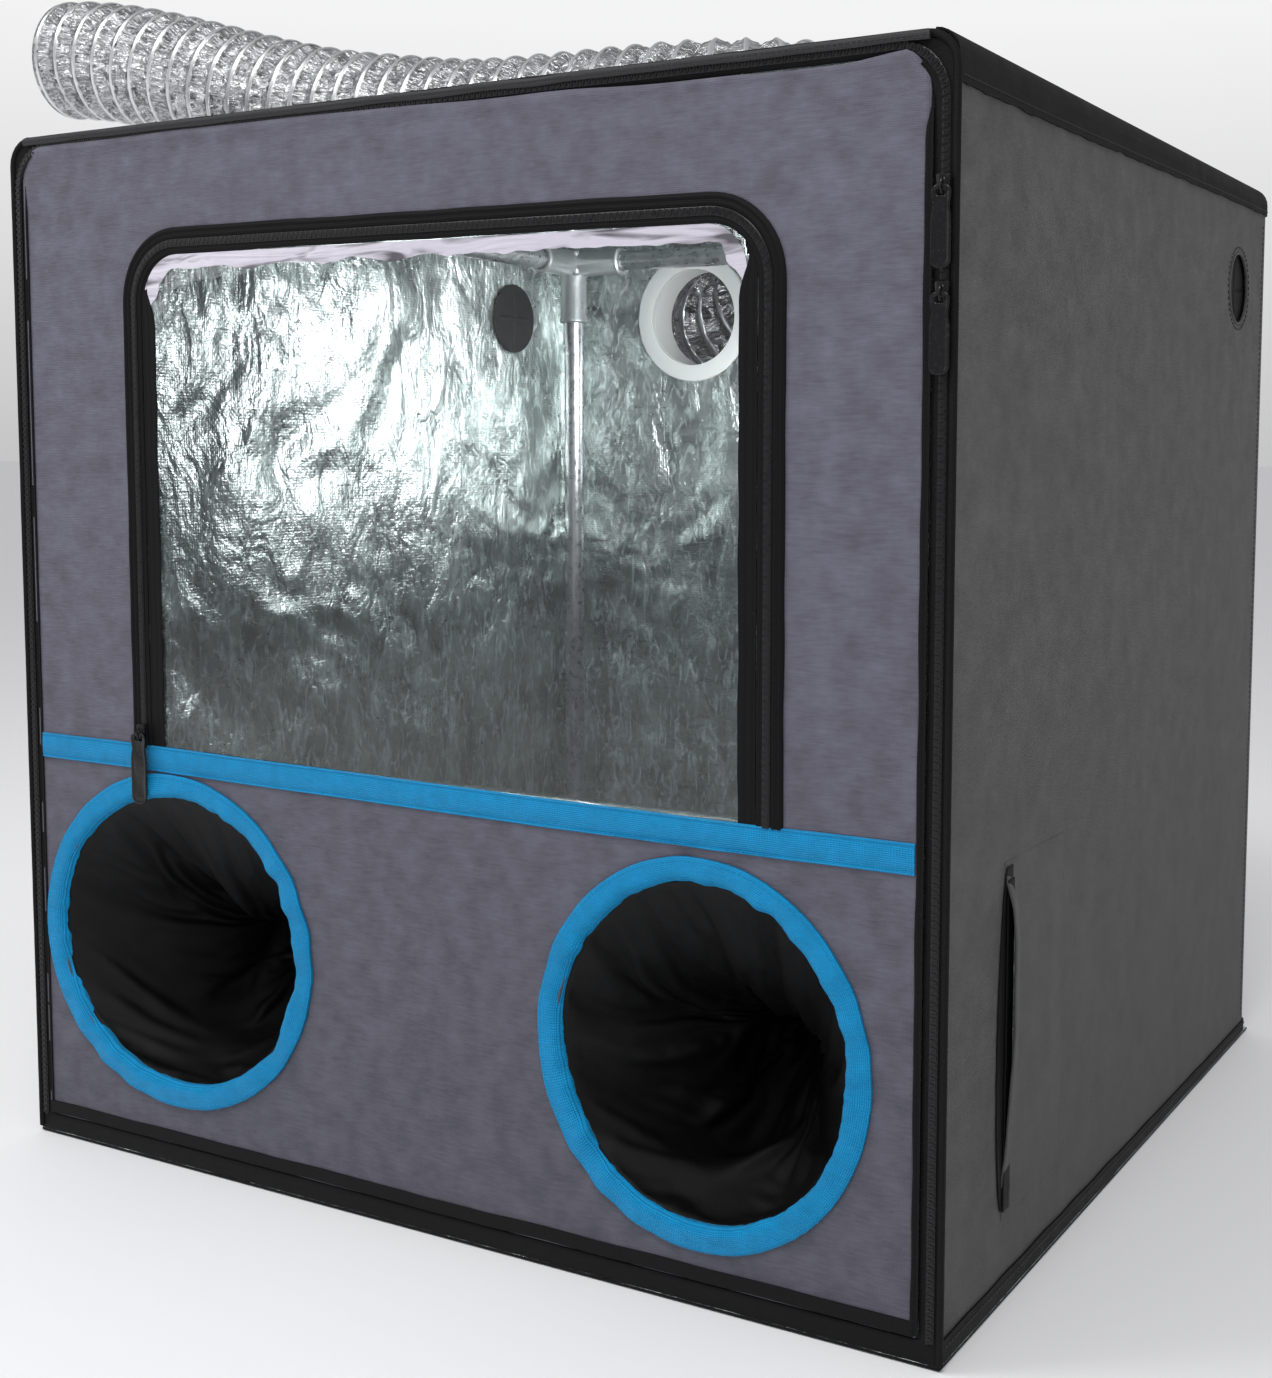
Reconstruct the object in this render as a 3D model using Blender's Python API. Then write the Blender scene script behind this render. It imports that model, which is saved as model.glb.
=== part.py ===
"""Printer enclosure tent: a pole frame inside a fabric cover with a zipped front, a clear window, two arm
sleeves, cable ports, a side flap and a foil exhaust duct.

Metres, +Z up. The origin is on the bench under the middle of the tent, and the front faces -Y.
"""

import math

import bmesh
import bpy
from mathutils import Matrix, Vector

# Driving dimensions: the whole tent
WIDTH = 0.665
DEPTH = 0.645
HEIGHT = 0.670
GAP = 0.0003  # what touching pieces keep between them

# Cover
SKIN = 0.002  # laminated fabric
TRIM = 0.0012  # folded trim on the side and back walls
TOP_TRIM_HEIGHT = 0.025
BASE_TRIM_HEIGHT = 0.012

# Frame
POLE_RADIUS = 0.009
POLE_WALL = 0.001
POLE_INSET = 0.030  # from the tent's faces to a pole's centre line
POLE_INSET_HIGH = 0.028  # the same, from the roof and the floor
SOCKET_WALL = 0.0022
SOCKET_LENGTH = 0.045
SOCKET_STOP = 0.0115  # where a socket's bore ends, from the corner's centre
HUB_EXTRA = 0.0008  # how far the corner's block stands proud of its sockets
HUB_BEVEL = 0.0030

# Front door, hinged along its bottom edge
DOOR_SIDE = 0.0120  # fabric left between the door and the tent's side
DOOR_TOP = 0.0115
DOOR_BOTTOM = 0.0140
DOOR_CORNER = 0.022
DOOR_CLEARANCE = 0.0006
DOOR_TAPE = 0.0040
TAPE = 0.0006
COIL_WIDTH = 0.0048
COIL_HEIGHT = 0.0013

# Window in the door
WINDOW_LEFT = -0.2160
WINDOW_RIGHT = 0.2245
WINDOW_BOTTOM = 0.2785
WINDOW_TOP = 0.5905
WINDOW_CORNER = 0.030
WINDOW_CLEARANCE = 0.0008
FILM = 0.0010
FRAME_TAPE = 0.0156  # black tape round the window
FLAP_TAPE = 0.0090
WINDOW_COIL_OUT = 0.0066  # from the flap's edge to the coil's centre line

# Blue webbing and arm openings
BAND_HEIGHT = 0.0170
BAND_TOP = 0.2768
BAND_THICKNESS = 0.0010
ARM_LEFT = (-0.200, 0.149)
ARM_RIGHT = (0.190, 0.141)
ARM_OPENING = 0.093  # radius
BINDING_WIDTH = 0.014
BINDING_HEIGHT = 0.005
SLEEVE_LENGTH = 0.165
SLEEVE_END = 0.034  # outer radius at the cuff
SLEEVE_TAPER = 1.6  # how late along its length the sleeve narrows
SLEEVE_EASE = 0.002  # how much smaller the sleeve's mouth is than the opening
CUFF = 0.0035

# Zip sliders and pulls
SLIDER_WIDTH = 0.0076
SLIDER_TAIL_WIDTH = 0.0055
SLIDER_NOSE_WIDTH = 0.0061
SLIDER_LENGTH = 0.0120
SLIDER_SHOULDER = 0.0021  # its widest place, above its middle
SLIDER_DEPTH = 0.0026
BAIL_WIDTH = 0.0022
BAIL_LENGTH = 0.0090
BAIL_SLOT = 0.0066  # length of the hole under the bail
BAIL_RISE = 0.0030
BAIL_SINK = 0.0004  # how far the bail's feet reach into the slider
BAR_STAND = 0.00107  # from the slider's face to the pull's bar
PULL_BAR = 0.0005  # radius of the wire bar in the bail
PULL_THICKNESS = 0.0014
PULL_NECK_WIDTH = 0.0075
PULL_SHOULDER = 0.0060  # where the neck ends, below the bar
PULL_TAPER = 0.0008  # how much narrower each side is at the shoulder
PULL_FOOT = 0.0026  # cut off the two lower corners
PULL_SLOT_LOW = 0.0078  # the slot that the bail passes through, below the bar
PULL_SLOT_HIGH = 0.0030  # and above it
DOOR_PULL_WIDTH = 0.0104
DOOR_PULL_LENGTH = 0.0390
WINDOW_PULL_WIDTH = 0.0130
WINDOW_PULL_LENGTH = 0.0455
UPPER_SLIDER_Z = 0.594
LOWER_SLIDER_Z = 0.543
WINDOW_SLIDER_Z = 0.2790

# Cable ports, side flap and exhaust
PORT_Y = 0.232
PORT_Z = 0.588
PORT_RADIUS = 0.0255
MEMBRANE_RIM = 0.0060
SLIT = 0.0008
SLIT_LENGTH = 0.036
SIDE_HOLE_FRONT = -0.2220
SIDE_HOLE_BACK = -0.1500
SIDE_HOLE_BOTTOM = 0.0560
SIDE_HOLE_TOP = 0.2370
FLAP_LAP = 0.0100
FLAP_LIP = 0.0200
FLAP = 0.0016
HOOK_WIDTH = 0.0140
HOOK = 0.0006
DUCT_X = -0.1865
DUCT_Z = 0.590
DUCT_RADIUS = 0.0495
SPIGOT_RADIUS = 0.0470
SPIGOT_WALL = 0.0030
SPIGOT_OUT = 0.0300
FLANGE_WIDTH = 0.0120
FLANGE = 0.0030
CLAMP_WIDTH = 0.0110
CLAMP = 0.0010

# The duct's centre line, from the back wall over the roof to its free end
DUCT_ROUTE = [
    (-0.1865, 0.3517, 0.5900), (-0.1865, 0.3620, 0.5900), (-0.1865, 0.3740, 0.5900),
    (-0.1810, 0.3985, 0.5955), (-0.1680, 0.4240, 0.6130), (-0.1460, 0.4360, 0.6430), (-0.1180, 0.4300, 0.6750),
    (-0.0850, 0.4080, 0.7020), (-0.0500, 0.3720, 0.7200), (-0.0200, 0.3300, 0.7235),
    (0.0100, 0.2940, 0.7228), (0.0340, 0.2540, 0.7215), (0.0520, 0.2080, 0.7205),
    (0.0620, 0.1600, 0.7203), (0.0580, 0.1120, 0.7203), (0.0360, 0.0720, 0.7203),
    (-0.0050, 0.0470, 0.7203), (-0.0550, 0.0370, 0.7203), (-0.1080, 0.0320, 0.7203),
    (-0.1600, 0.0260, 0.7203), (-0.2000, 0.0220, 0.7210), (-0.2380, 0.0180, 0.7245),
    (-0.2790, 0.0140, 0.7305), (-0.3260, 0.0090, 0.7375), (-0.3740, 0.0040, 0.7480),
    (-0.4230, -0.0010, 0.7610), (-0.4750, -0.0070, 0.7756), (-0.5260, -0.0120, 0.7890),
    (-0.5750, -0.0170, 0.7990), (-0.6140, -0.0210, 0.8030),
]
DUCT_STEPS = 2  # straight pieces between two points of the route

# Worked out from the above
RIGHT = WIDTH / 2
BACK = DEPTH / 2
FRONT = -BACK
LOW = SKIN + GAP
HIGH = HEIGHT - SKIN - GAP
WALL_X = RIGHT - TRIM - GAP  # outer face of a side wall
WALL_Y = BACK - TRIM - GAP  # outer face of the back wall
DOOR_X = RIGHT - DOOR_SIDE
DOOR_Z = HEIGHT - DOOR_TOP
POLE_X = RIGHT - POLE_INSET
POLE_Y = BACK - POLE_INSET
POLE_LOW = POLE_INSET_HIGH
POLE_HIGH = HEIGHT - POLE_INSET_HIGH
SOCKET_BORE = (POLE_RADIUS + GAP) / math.cos(math.pi / 12)  # the bore has twelve flat sides
SOCKET_RADIUS = SOCKET_BORE + SOCKET_WALL
HUB_HALF = SOCKET_RADIUS + HUB_EXTRA
COIL_X = (DOOR_X + DOOR_CLEARANCE + RIGHT) / 2
COIL_Z = (DOOR_Z + DOOR_CLEARANCE + HIGH) / 2
COIL_TOP_WIDTH = min(COIL_WIDTH, 0.8 * (HIGH - DOOR_Z - DOOR_CLEARANCE))
WINDOW_COIL_X = WINDOW_LEFT - WINDOW_COIL_OUT
TAU = 2 * math.pi


def clear_scene():
    for found in list(bpy.data.objects):
        bpy.data.objects.remove(found, do_unlink=True)


def material(name, color, roughness, metallic=0.0, alpha=1.0):
    made = bpy.data.materials.new(name)
    made.use_nodes = True
    shader = made.node_tree.nodes["Principled BSDF"]
    shader.inputs["Base Color"].default_value = (*color, 1.0)
    shader.inputs["Roughness"].default_value = roughness
    shader.inputs["Metallic"].default_value = metallic
    shader.inputs["Alpha"].default_value = alpha
    made.diffuse_color = (*color, alpha)
    return made


def place(name, mesh, finish, smooth=False, matrix=None):
    """A new object with this mesh, its faces pointing out."""
    bm = bmesh.new()
    bm.from_mesh(mesh)
    bmesh.ops.remove_doubles(bm, verts=bm.verts, dist=1e-6)
    bmesh.ops.recalc_face_normals(bm, faces=bm.faces)
    bm.to_mesh(mesh)
    bm.free()
    if smooth:
        mesh.shade_smooth()
        mesh.set_sharp_from_angle(angle=math.radians(35))
    made = bpy.data.objects.new(name, mesh)
    mesh.materials.append(finish)
    if matrix is not None:
        made.matrix_world = matrix
    bpy.context.scene.collection.objects.link(made)
    return made


def prism(name, outline, axis, low, high, finish, origin=(0.0, 0.0, 0.0)):
    """An outline of two coordinates, extruded from low to high along the axis that it leaves out."""
    bm = bmesh.new()
    order = {"X": (2, 0, 1), "Y": (0, 2, 1), "Z": (0, 1, 2)}[axis]
    corners = []
    for u, v in outline:
        values = (u, v, low)
        corners.append(bm.verts.new([values[i] for i in order]))
    face = bm.faces.new(corners)
    raised = bmesh.ops.extrude_face_region(bm, geom=[face])["geom"]
    step = Vector([(0, 0, high - low)[i] for i in order])
    bmesh.ops.translate(bm, vec=step, verts=[g for g in raised if isinstance(g, bmesh.types.BMVert)])
    bmesh.ops.translate(bm, vec=-Vector(origin), verts=bm.verts)
    mesh = bpy.data.meshes.new(name)
    bm.to_mesh(mesh)
    bm.free()
    return place(name, mesh, finish, matrix=Matrix.Translation(origin))


def rectangle(u0, u1, v0, v1):
    return [(u0, v0), (u1, v0), (u1, v1), (u0, v1)]


def arch(u0, u1, v0, v1, radius, steps=7):
    """A rectangle with round top corners, from its lower left to its lower right, over the top."""
    points = [(u0, v0)]
    for centre, start in (((u0 + radius, v1 - radius), math.pi), ((u1 - radius, v1 - radius), math.pi / 2)):
        for i in range(steps + 1):
            turn = start - i * math.pi / 2 / steps
            points.append((centre[0] + radius * math.cos(turn), centre[1] + radius * math.sin(turn)))
    points.append((u1, v0))
    return points


def arch_strip(u0, u1, v0, v1, radius, width, top_width=None):
    """A strip of this width just inside an arch, open at the bottom."""
    top = width if top_width is None else top_width
    inner = arch(u0 + width, u1 - width, v0, v1 - top, max(radius - width, 0.002))
    return arch(u0, u1, v0, v1, radius) + inner[::-1]


def turned(name, profile, finish, segments=24, matrix=None):
    """A closed profile of (radius, height) points, turned about Z."""
    bm = bmesh.new()
    verts = [bm.verts.new((r, 0.0, z)) for r, z in profile]
    edges = [bm.edges.new((verts[i], verts[(i + 1) % len(verts)])) for i in range(len(verts))]
    bmesh.ops.spin(
        bm, geom=verts + edges, cent=(0, 0, 0), axis=(0, 0, 1), angle=TAU, steps=segments, use_merge=True
    )
    mesh = bpy.data.meshes.new(name)
    bm.to_mesh(mesh)
    bm.free()
    return place(name, mesh, finish, smooth=True, matrix=matrix)


def ring_profile(inner, outer, low, high):
    return [(inner, low), (outer, low), (outer, high), (inner, high)]


def oval_profile(radius, half_width, half_height, sides=8):
    return [
        (radius + half_width * math.cos(TAU * i / sides), half_height * math.sin(TAU * i / sides))
        for i in range(sides)
    ]


def facing(direction, at):
    """The matrix that turns +Z to a direction and moves to a point."""
    turn = Vector((0, 0, 1)).rotation_difference(Vector(direction))
    return Matrix.Translation(at) @ turn.to_matrix().to_4x4()


def combine(target, helper, operation):
    """A Boolean with a helper that isn't itself part of the tent."""
    helper.hide_render = True
    helper.display_type = "WIRE"
    step = target.modifiers.new(helper.name, "BOOLEAN")
    step.operation = operation
    step.solver = "EXACT"
    step.object = helper


def cylinder(name, radius, low, high, finish, direction=(0, 0, 1), at=(0, 0, 0), segments=24):
    """A solid rod along a direction."""
    profile = [(0.0, low), (radius, low), (radius, high), (0.0, high)]
    bm = bmesh.new()
    verts = [bm.verts.new((r, 0.0, z)) for r, z in profile]
    edges = [bm.edges.new((verts[i], verts[i + 1])) for i in range(3)]
    bmesh.ops.spin(
        bm, geom=verts + edges, cent=(0, 0, 0), axis=(0, 0, 1), angle=TAU, steps=segments, use_merge=True
    )
    bmesh.ops.remove_doubles(bm, verts=bm.verts, dist=1e-6)
    mesh = bpy.data.meshes.new(name)
    bm.to_mesh(mesh)
    bm.free()
    return place(name, mesh, finish, smooth=True, matrix=facing(direction, at))


def parent(child, to):
    child.parent = to
    child.matrix_parent_inverse = to.matrix_world.inverted()


def pivot(name, at):
    """An empty on a joint's axis."""
    made = bpy.data.objects.new(name, None)
    made.empty_display_size = 0.02
    made.matrix_world = Matrix.Translation(at)
    bpy.context.scene.collection.objects.link(made)
    return made


def corner_mesh(finish):
    """A three-way corner with its sockets along +X, +Y and +Z."""
    bm = bmesh.new()
    bmesh.ops.create_cube(bm, size=2 * HUB_HALF)
    bmesh.ops.bevel(bm, geom=bm.edges[:], offset=HUB_BEVEL, segments=2, profile=0.5, affect="EDGES")
    mesh = bpy.data.meshes.new("corner_hub")
    bm.to_mesh(mesh)
    bm.free()
    hub = place("corner_hub", mesh, finish)
    ways = {"x": (1, 0, 0), "y": (0, 1, 0), "z": (0, 0, 1)}
    for way, direction in ways.items():
        arm = cylinder(
            f"arm_{way}", SOCKET_RADIUS, HUB_HALF - HUB_BEVEL, SOCKET_LENGTH, finish, direction, segments=12
        )
        combine(hub, arm, "UNION")
    for way, direction in ways.items():
        bore = cylinder(
            f"bore_{way}", SOCKET_BORE, SOCKET_STOP, SOCKET_LENGTH + 0.01, finish, direction, segments=12
        )
        combine(hub, bore, "DIFFERENCE")
    bpy.context.view_layer.update()
    made = bpy.data.meshes.new_from_object(hub.evaluated_get(bpy.context.evaluated_depsgraph_get()))
    helpers = [hub] + [step.object for step in hub.modifiers]
    for helper in helpers:
        bpy.data.objects.remove(helper, do_unlink=True)
    made.name = "corner"
    made.shade_smooth()
    made.set_sharp_from_angle(angle=math.radians(35))
    return made


def make_frame(steel, socket):
    """Twelve poles and the eight corners that hold their ends."""
    shape = corner_mesh(socket)
    for level, z in (("bottom", POLE_LOW), ("top", POLE_HIGH)):
        for row, y in (("front", -POLE_Y), ("back", POLE_Y)):
            for side, x in (("left", -POLE_X), ("right", POLE_X)):
                sx, sy, sz = -math.copysign(1, x), -math.copysign(1, y), 1 if level == "bottom" else -1
                if sx * sy * sz > 0:
                    turn = Matrix(((sx, 0, 0), (0, sy, 0), (0, 0, sz)))
                else:
                    turn = Matrix(((0, sx, 0), (sy, 0, 0), (0, 0, sz)))
                corner = bpy.data.objects.new(f"corner_{level}_{row}_{side}", shape)
                corner.matrix_world = Matrix.Translation((x, y, z)) @ turn.to_4x4()
                bpy.context.scene.collection.objects.link(corner)
    stop = SOCKET_STOP + 2 * GAP

    def pole(name, half_length, direction, at):
        profile = ring_profile(POLE_RADIUS - POLE_WALL, POLE_RADIUS, -half_length, half_length)
        turned(name, profile, steel, segments=12, matrix=facing(direction, at))

    for row, y in (("front", -POLE_Y), ("back", POLE_Y)):
        for side, x in (("left", -POLE_X), ("right", POLE_X)):
            pole(f"pole_{row}_{side}", (POLE_HIGH - POLE_LOW) / 2 - stop, (0, 0, 1),
                 (x, y, (POLE_LOW + POLE_HIGH) / 2))
    for level, z in (("bottom", POLE_LOW), ("top", POLE_HIGH)):
        for row, y in (("front", -POLE_Y), ("back", POLE_Y)):
            pole(f"rail_{level}_{row}", POLE_X - stop, (1, 0, 0), (0, y, z))
        for side, x in (("left", -POLE_X), ("right", POLE_X)):
            pole(f"rail_{level}_{side}", POLE_Y - stop, (0, 1, 0), (x, 0, z))


def trim_outline():
    """A U round the left, back and right walls, seen from above."""
    start = FRONT + SKIN + GAP
    inner_x, inner_y = RIGHT - TRIM, BACK - TRIM
    return [
        (-RIGHT, start), (-RIGHT, BACK), (RIGHT, BACK), (RIGHT, start),
        (inner_x, start), (inner_x, inner_y), (-inner_x, inner_y), (-inner_x, start),
    ]


def port_hole(wall, x, finish):
    hole = cylinder(f"{wall.name}_port_hole", PORT_RADIUS, -0.02, 0.02, finish, (1, 0, 0), (x, PORT_Y, PORT_Z))
    combine(wall, hole, "DIFFERENCE")


def make_cover(grey, black):
    """Roof, floor, three walls, the front's surround and the trims."""
    prism("roof_panel", rectangle(-RIGHT, RIGHT, FRONT, BACK), "Z", HEIGHT - SKIN, HEIGHT, black)
    prism("floor_panel", rectangle(-RIGHT, RIGHT, FRONT, BACK), "Z", 0.0, SKIN, black)
    back_wall = prism(
        "back_wall", rectangle(-WALL_X, WALL_X, LOW, HIGH), "Y", WALL_Y - SKIN, WALL_Y, grey
    )
    duct_hole = cylinder(
        "duct_hole", SPIGOT_RADIUS + GAP, -0.02, 0.02, grey, (0, 1, 0), (DUCT_X, WALL_Y, DUCT_Z), segments=32
    )
    combine(back_wall, duct_hole, "DIFFERENCE")
    depth_range = (FRONT + SKIN + GAP, WALL_Y - SKIN - GAP)
    left_wall = prism("left_wall", rectangle(*depth_range, LOW, HIGH), "X", -WALL_X, -WALL_X + SKIN, grey)
    right_wall = prism("right_wall", rectangle(*depth_range, LOW, HIGH), "X", WALL_X - SKIN, WALL_X, grey)
    port_hole(left_wall, -WALL_X, grey)
    port_hole(right_wall, WALL_X, grey)
    side_hole = prism(
        "side_hole", rectangle(SIDE_HOLE_FRONT, SIDE_HOLE_BACK, SIDE_HOLE_BOTTOM, SIDE_HOLE_TOP),
        "X", WALL_X - 2 * SKIN, WALL_X + SKIN, grey,
    )
    combine(right_wall, side_hole, "DIFFERENCE")
    surround = prism("front_surround", rectangle(-RIGHT, RIGHT, LOW, HIGH), "Y", FRONT, FRONT + SKIN, black)
    clear = DOOR_CLEARANCE
    opening = prism(
        "door_opening",
        arch(-DOOR_X - clear, DOOR_X + clear, DOOR_BOTTOM - clear, DOOR_Z + clear, DOOR_CORNER + clear),
        "Y", FRONT - SKIN, FRONT + 2 * SKIN, black,
    )
    combine(surround, opening, "DIFFERENCE")
    prism("top_trim", trim_outline(), "Z", HIGH - TOP_TRIM_HEIGHT, HIGH, black)
    prism("base_trim", trim_outline(), "Z", LOW, LOW + BASE_TRIM_HEIGHT, black)


def make_door(grey, black, blue, lining):
    """The front door with its tapes, band, arm bindings and sleeves."""
    hinge = pivot("door_hinge", (0, FRONT, DOOR_BOTTOM))
    door = prism(
        "door_panel", arch(-DOOR_X, DOOR_X, DOOR_BOTTOM, DOOR_Z, DOOR_CORNER), "Y", FRONT, FRONT + SKIN, grey
    )
    clear = WINDOW_CLEARANCE
    window = prism(
        "window_hole",
        arch(WINDOW_LEFT - clear, WINDOW_RIGHT + clear, WINDOW_BOTTOM - clear, WINDOW_TOP + clear,
             WINDOW_CORNER + clear),
        "Y", FRONT - SKIN, FRONT + 2 * SKIN, grey,
    )
    combine(door, window, "DIFFERENCE")
    front = FRONT - GAP
    parts = [
        door,
        prism("door_zip_tape",
              arch_strip(-DOOR_X, DOOR_X, DOOR_BOTTOM, DOOR_Z, DOOR_CORNER, DOOR_TAPE),
              "Y", front - TAPE, front, black),
        prism("blue_band",
              rectangle(-DOOR_X + DOOR_TAPE + GAP, DOOR_X - DOOR_TAPE - GAP, BAND_TOP - BAND_HEIGHT, BAND_TOP),
              "Y", front - BAND_THICKNESS, front, blue),
    ]
    reach = FRAME_TAPE + clear
    parts.append(prism(
        "window_frame_tape",
        arch_strip(WINDOW_LEFT - reach, WINDOW_RIGHT + reach, BAND_TOP + GAP, WINDOW_TOP + reach,
                   WINDOW_CORNER + reach, FRAME_TAPE),
        "Y", front - TAPE, front, black,
    ))
    coil = WINDOW_COIL_OUT + COIL_WIDTH / 2
    coil_front = front - TAPE - GAP
    parts.append(prism(
        "window_zip_coil",
        arch_strip(WINDOW_LEFT - coil, WINDOW_RIGHT + coil, BAND_TOP + GAP, WINDOW_TOP + coil,
                   WINDOW_CORNER + coil, COIL_WIDTH),
        "Y", coil_front - COIL_HEIGHT, coil_front, black,
    ))
    ring = ARM_OPENING + BINDING_WIDTH / 2
    inside = FRONT + SKIN + GAP
    for side, (x, z) in (("left", ARM_LEFT), ("right", ARM_RIGHT)):
        hole = cylinder(
            f"arm_hole_{side}", ARM_OPENING, -0.02, 0.02, grey, (0, 1, 0), (x, FRONT, z), segments=40
        )
        combine(door, hole, "DIFFERENCE")
        parts.append(turned(
            f"arm_binding_{side}", oval_profile(ring, BINDING_WIDTH / 2, BINDING_HEIGHT / 2), blue, 32,
            facing((0, 1, 0), (x, front - BINDING_HEIGHT / 2, z)),
        ))
        mouth = facing((0, 1, 0), (x, inside, z))
        parts.append(turned(f"arm_sleeve_{side}", sleeve_profile(), lining, 28, mouth))
        cuff_y = inside + SLEEVE_LENGTH + GAP + CUFF
        parts.append(turned(
            f"sleeve_cuff_{side}", oval_profile(SLEEVE_END - SKIN / 2, CUFF, CUFF, 6), black, 28,
            facing((0, 1, 0), (x, cuff_y, z)),
        ))
    for part in parts:
        parent(part, hinge)
    return hinge


def sleeve_profile(steps=4):
    """A tapering fabric tube, drawn in towards its cuff."""
    mouth = ARM_OPENING - SLEEVE_EASE
    outer, inner = [], []
    for i in range(steps + 1):
        along = i / steps
        radius = mouth + (SLEEVE_END - mouth) * along ** SLEEVE_TAPER
        outer.append((radius, SLEEVE_LENGTH * along))
        inner.append((radius - SKIN, SLEEVE_LENGTH * along))
    return outer + inner[::-1]


def make_window(door_hinge, film, black):
    """The clear flap, hinged along its bottom edge."""
    hinge = pivot("window_hinge", (0, FRONT - BAND_THICKNESS - 2 * GAP, WINDOW_BOTTOM))
    outline = arch(WINDOW_LEFT, WINDOW_RIGHT, WINDOW_BOTTOM, WINDOW_TOP, WINDOW_CORNER)
    pane = prism("window_film", outline, "Y", FRONT + GAP, FRONT + GAP + FILM, film)
    tape = prism(
        "window_flap_tape",
        arch_strip(WINDOW_LEFT, WINDOW_RIGHT, WINDOW_BOTTOM, WINDOW_TOP, WINDOW_CORNER, FLAP_TAPE),
        "Y", FRONT - TAPE, FRONT, black,
    )
    parent(pane, hinge)
    parent(tape, hinge)
    parent(hinge, door_hinge)


def make_slider(name, x, z, back, black):
    """A zip slider whose bail stands out of its front. Returns where the pull's bar runs through the bail."""
    front = back - SLIDER_DEPTH
    half = SLIDER_LENGTH / 2
    tail, wide, nose = SLIDER_TAIL_WIDTH / 2, SLIDER_WIDTH / 2, SLIDER_NOSE_WIDTH / 2
    outline = [
        (x - tail, z - half), (x + tail, z - half), (x + wide, z + SLIDER_SHOULDER),
        (x + nose, z + half), (x - nose, z + half), (x - wide, z + SLIDER_SHOULDER),
    ]
    body = prism(name, outline, "Y", front, back, black)
    steps = 6
    outer, inner = [], []
    for i in range(steps + 1):
        turn = math.pi * i / steps
        rise, along = math.sin(turn), math.cos(turn)
        outer.append((front + BAIL_SINK - (BAIL_RISE + BAIL_SINK) * rise, z - BAIL_LENGTH / 2 * along))
        inner.append((front + 2 * BAIL_SINK - (BAIL_RISE - BAIL_SINK) * rise, z - BAIL_SLOT / 2 * along))
    bail = prism(f"{name}_bail", outer + inner[::-1], "X", x - BAIL_WIDTH / 2, x + BAIL_WIDTH / 2, black)
    combine(body, bail, "UNION")
    return Vector((x, front - BAR_STAND, z))


def make_pull(name, at, width, length, finish):
    """A flat tab hanging from a thin bar that runs through the bail."""
    hinge = pivot(f"{name}_hinge", at)
    top, neck = PULL_BAR + GAP / 3, PULL_NECK_WIDTH / 2
    wide = width / 2
    shoulder = wide - PULL_TAPER
    outline = [
        (-neck, top), (-shoulder, -PULL_SHOULDER), (-wide, PULL_FOOT - length), (PULL_FOOT - wide, -length),
        (wide - PULL_FOOT, -length), (wide, PULL_FOOT - length), (shoulder, -PULL_SHOULDER), (neck, top),
    ]
    half = PULL_THICKNESS / 2
    shape = [(at.x + u, at.z + v) for u, v in outline]
    tab = prism(name, shape, "Y", at.y - half, at.y + half, finish, origin=at)
    window = rectangle(at.x - BAIL_WIDTH, at.x + BAIL_WIDTH, at.z - PULL_SLOT_LOW, at.z + PULL_SLOT_HIGH)
    hole = prism(f"{name}_hole", window, "Y", at.y - PULL_NECK_WIDTH, at.y + PULL_NECK_WIDTH, finish)
    combine(tab, hole, "DIFFERENCE")
    reach = (neck + BAIL_WIDTH) / 2  # the bar ends inside the tab's two sides
    bar = cylinder(f"{name}_bar", PULL_BAR, -reach, reach, finish, (1, 0, 0), at, segments=10)
    combine(tab, bar, "UNION")
    parent(tab, hinge)
    return hinge


def make_zips(door_hinge, black):
    """The door's fixed coil, three sliders and their pulls."""
    front = FRONT - GAP
    out = COIL_X + COIL_WIDTH / 2
    coil = arch_strip(
        -out, out, DOOR_BOTTOM, COIL_Z + COIL_TOP_WIDTH / 2, DOOR_CORNER, COIL_WIDTH, COIL_TOP_WIDTH
    )
    prism("door_zip_coil", coil, "Y", front - COIL_HEIGHT, front, black)
    back = front - COIL_HEIGHT - GAP
    for level, z in (("upper", UPPER_SLIDER_Z), ("lower", LOWER_SLIDER_Z)):
        at = make_slider(f"door_slider_{level}", COIL_X, z, back, black)
        make_pull(f"door_pull_{level}", at, DOOR_PULL_WIDTH, DOOR_PULL_LENGTH, black)
    back = front - TAPE - GAP - COIL_HEIGHT - GAP
    at = make_slider("window_slider", WINDOW_COIL_X, WINDOW_SLIDER_Z + SLIDER_LENGTH / 2, back, black)
    hinge = make_pull("window_pull", at, WINDOW_PULL_WIDTH, WINDOW_PULL_LENGTH, black)
    parent(bpy.data.objects["window_slider"], door_hinge)
    parent(hinge, door_hinge)


def make_ports(black):
    """A round membrane with a crossed slit behind each side wall's port."""
    for side, x in (("left", -WALL_X + SKIN + GAP), ("right", WALL_X - SKIN - GAP - SKIN)):
        disc = cylinder(
            f"port_membrane_{side}", PORT_RADIUS + MEMBRANE_RIM, 0.0, SKIN, black,
            (1, 0, 0), (x, PORT_Y, PORT_Z), segments=28,
        )
        for way, (wide, tall) in (("tall", (SLIT, SLIT_LENGTH)), ("wide", (SLIT_LENGTH, SLIT))):
            cut = prism(
                f"slit_{side}_{way}",
                rectangle(PORT_Y - wide / 2, PORT_Y + wide / 2, PORT_Z - tall / 2, PORT_Z + tall / 2),
                "X", x - SKIN, x + 2 * SKIN, black,
            )
            combine(disc, cut, "DIFFERENCE")


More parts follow.
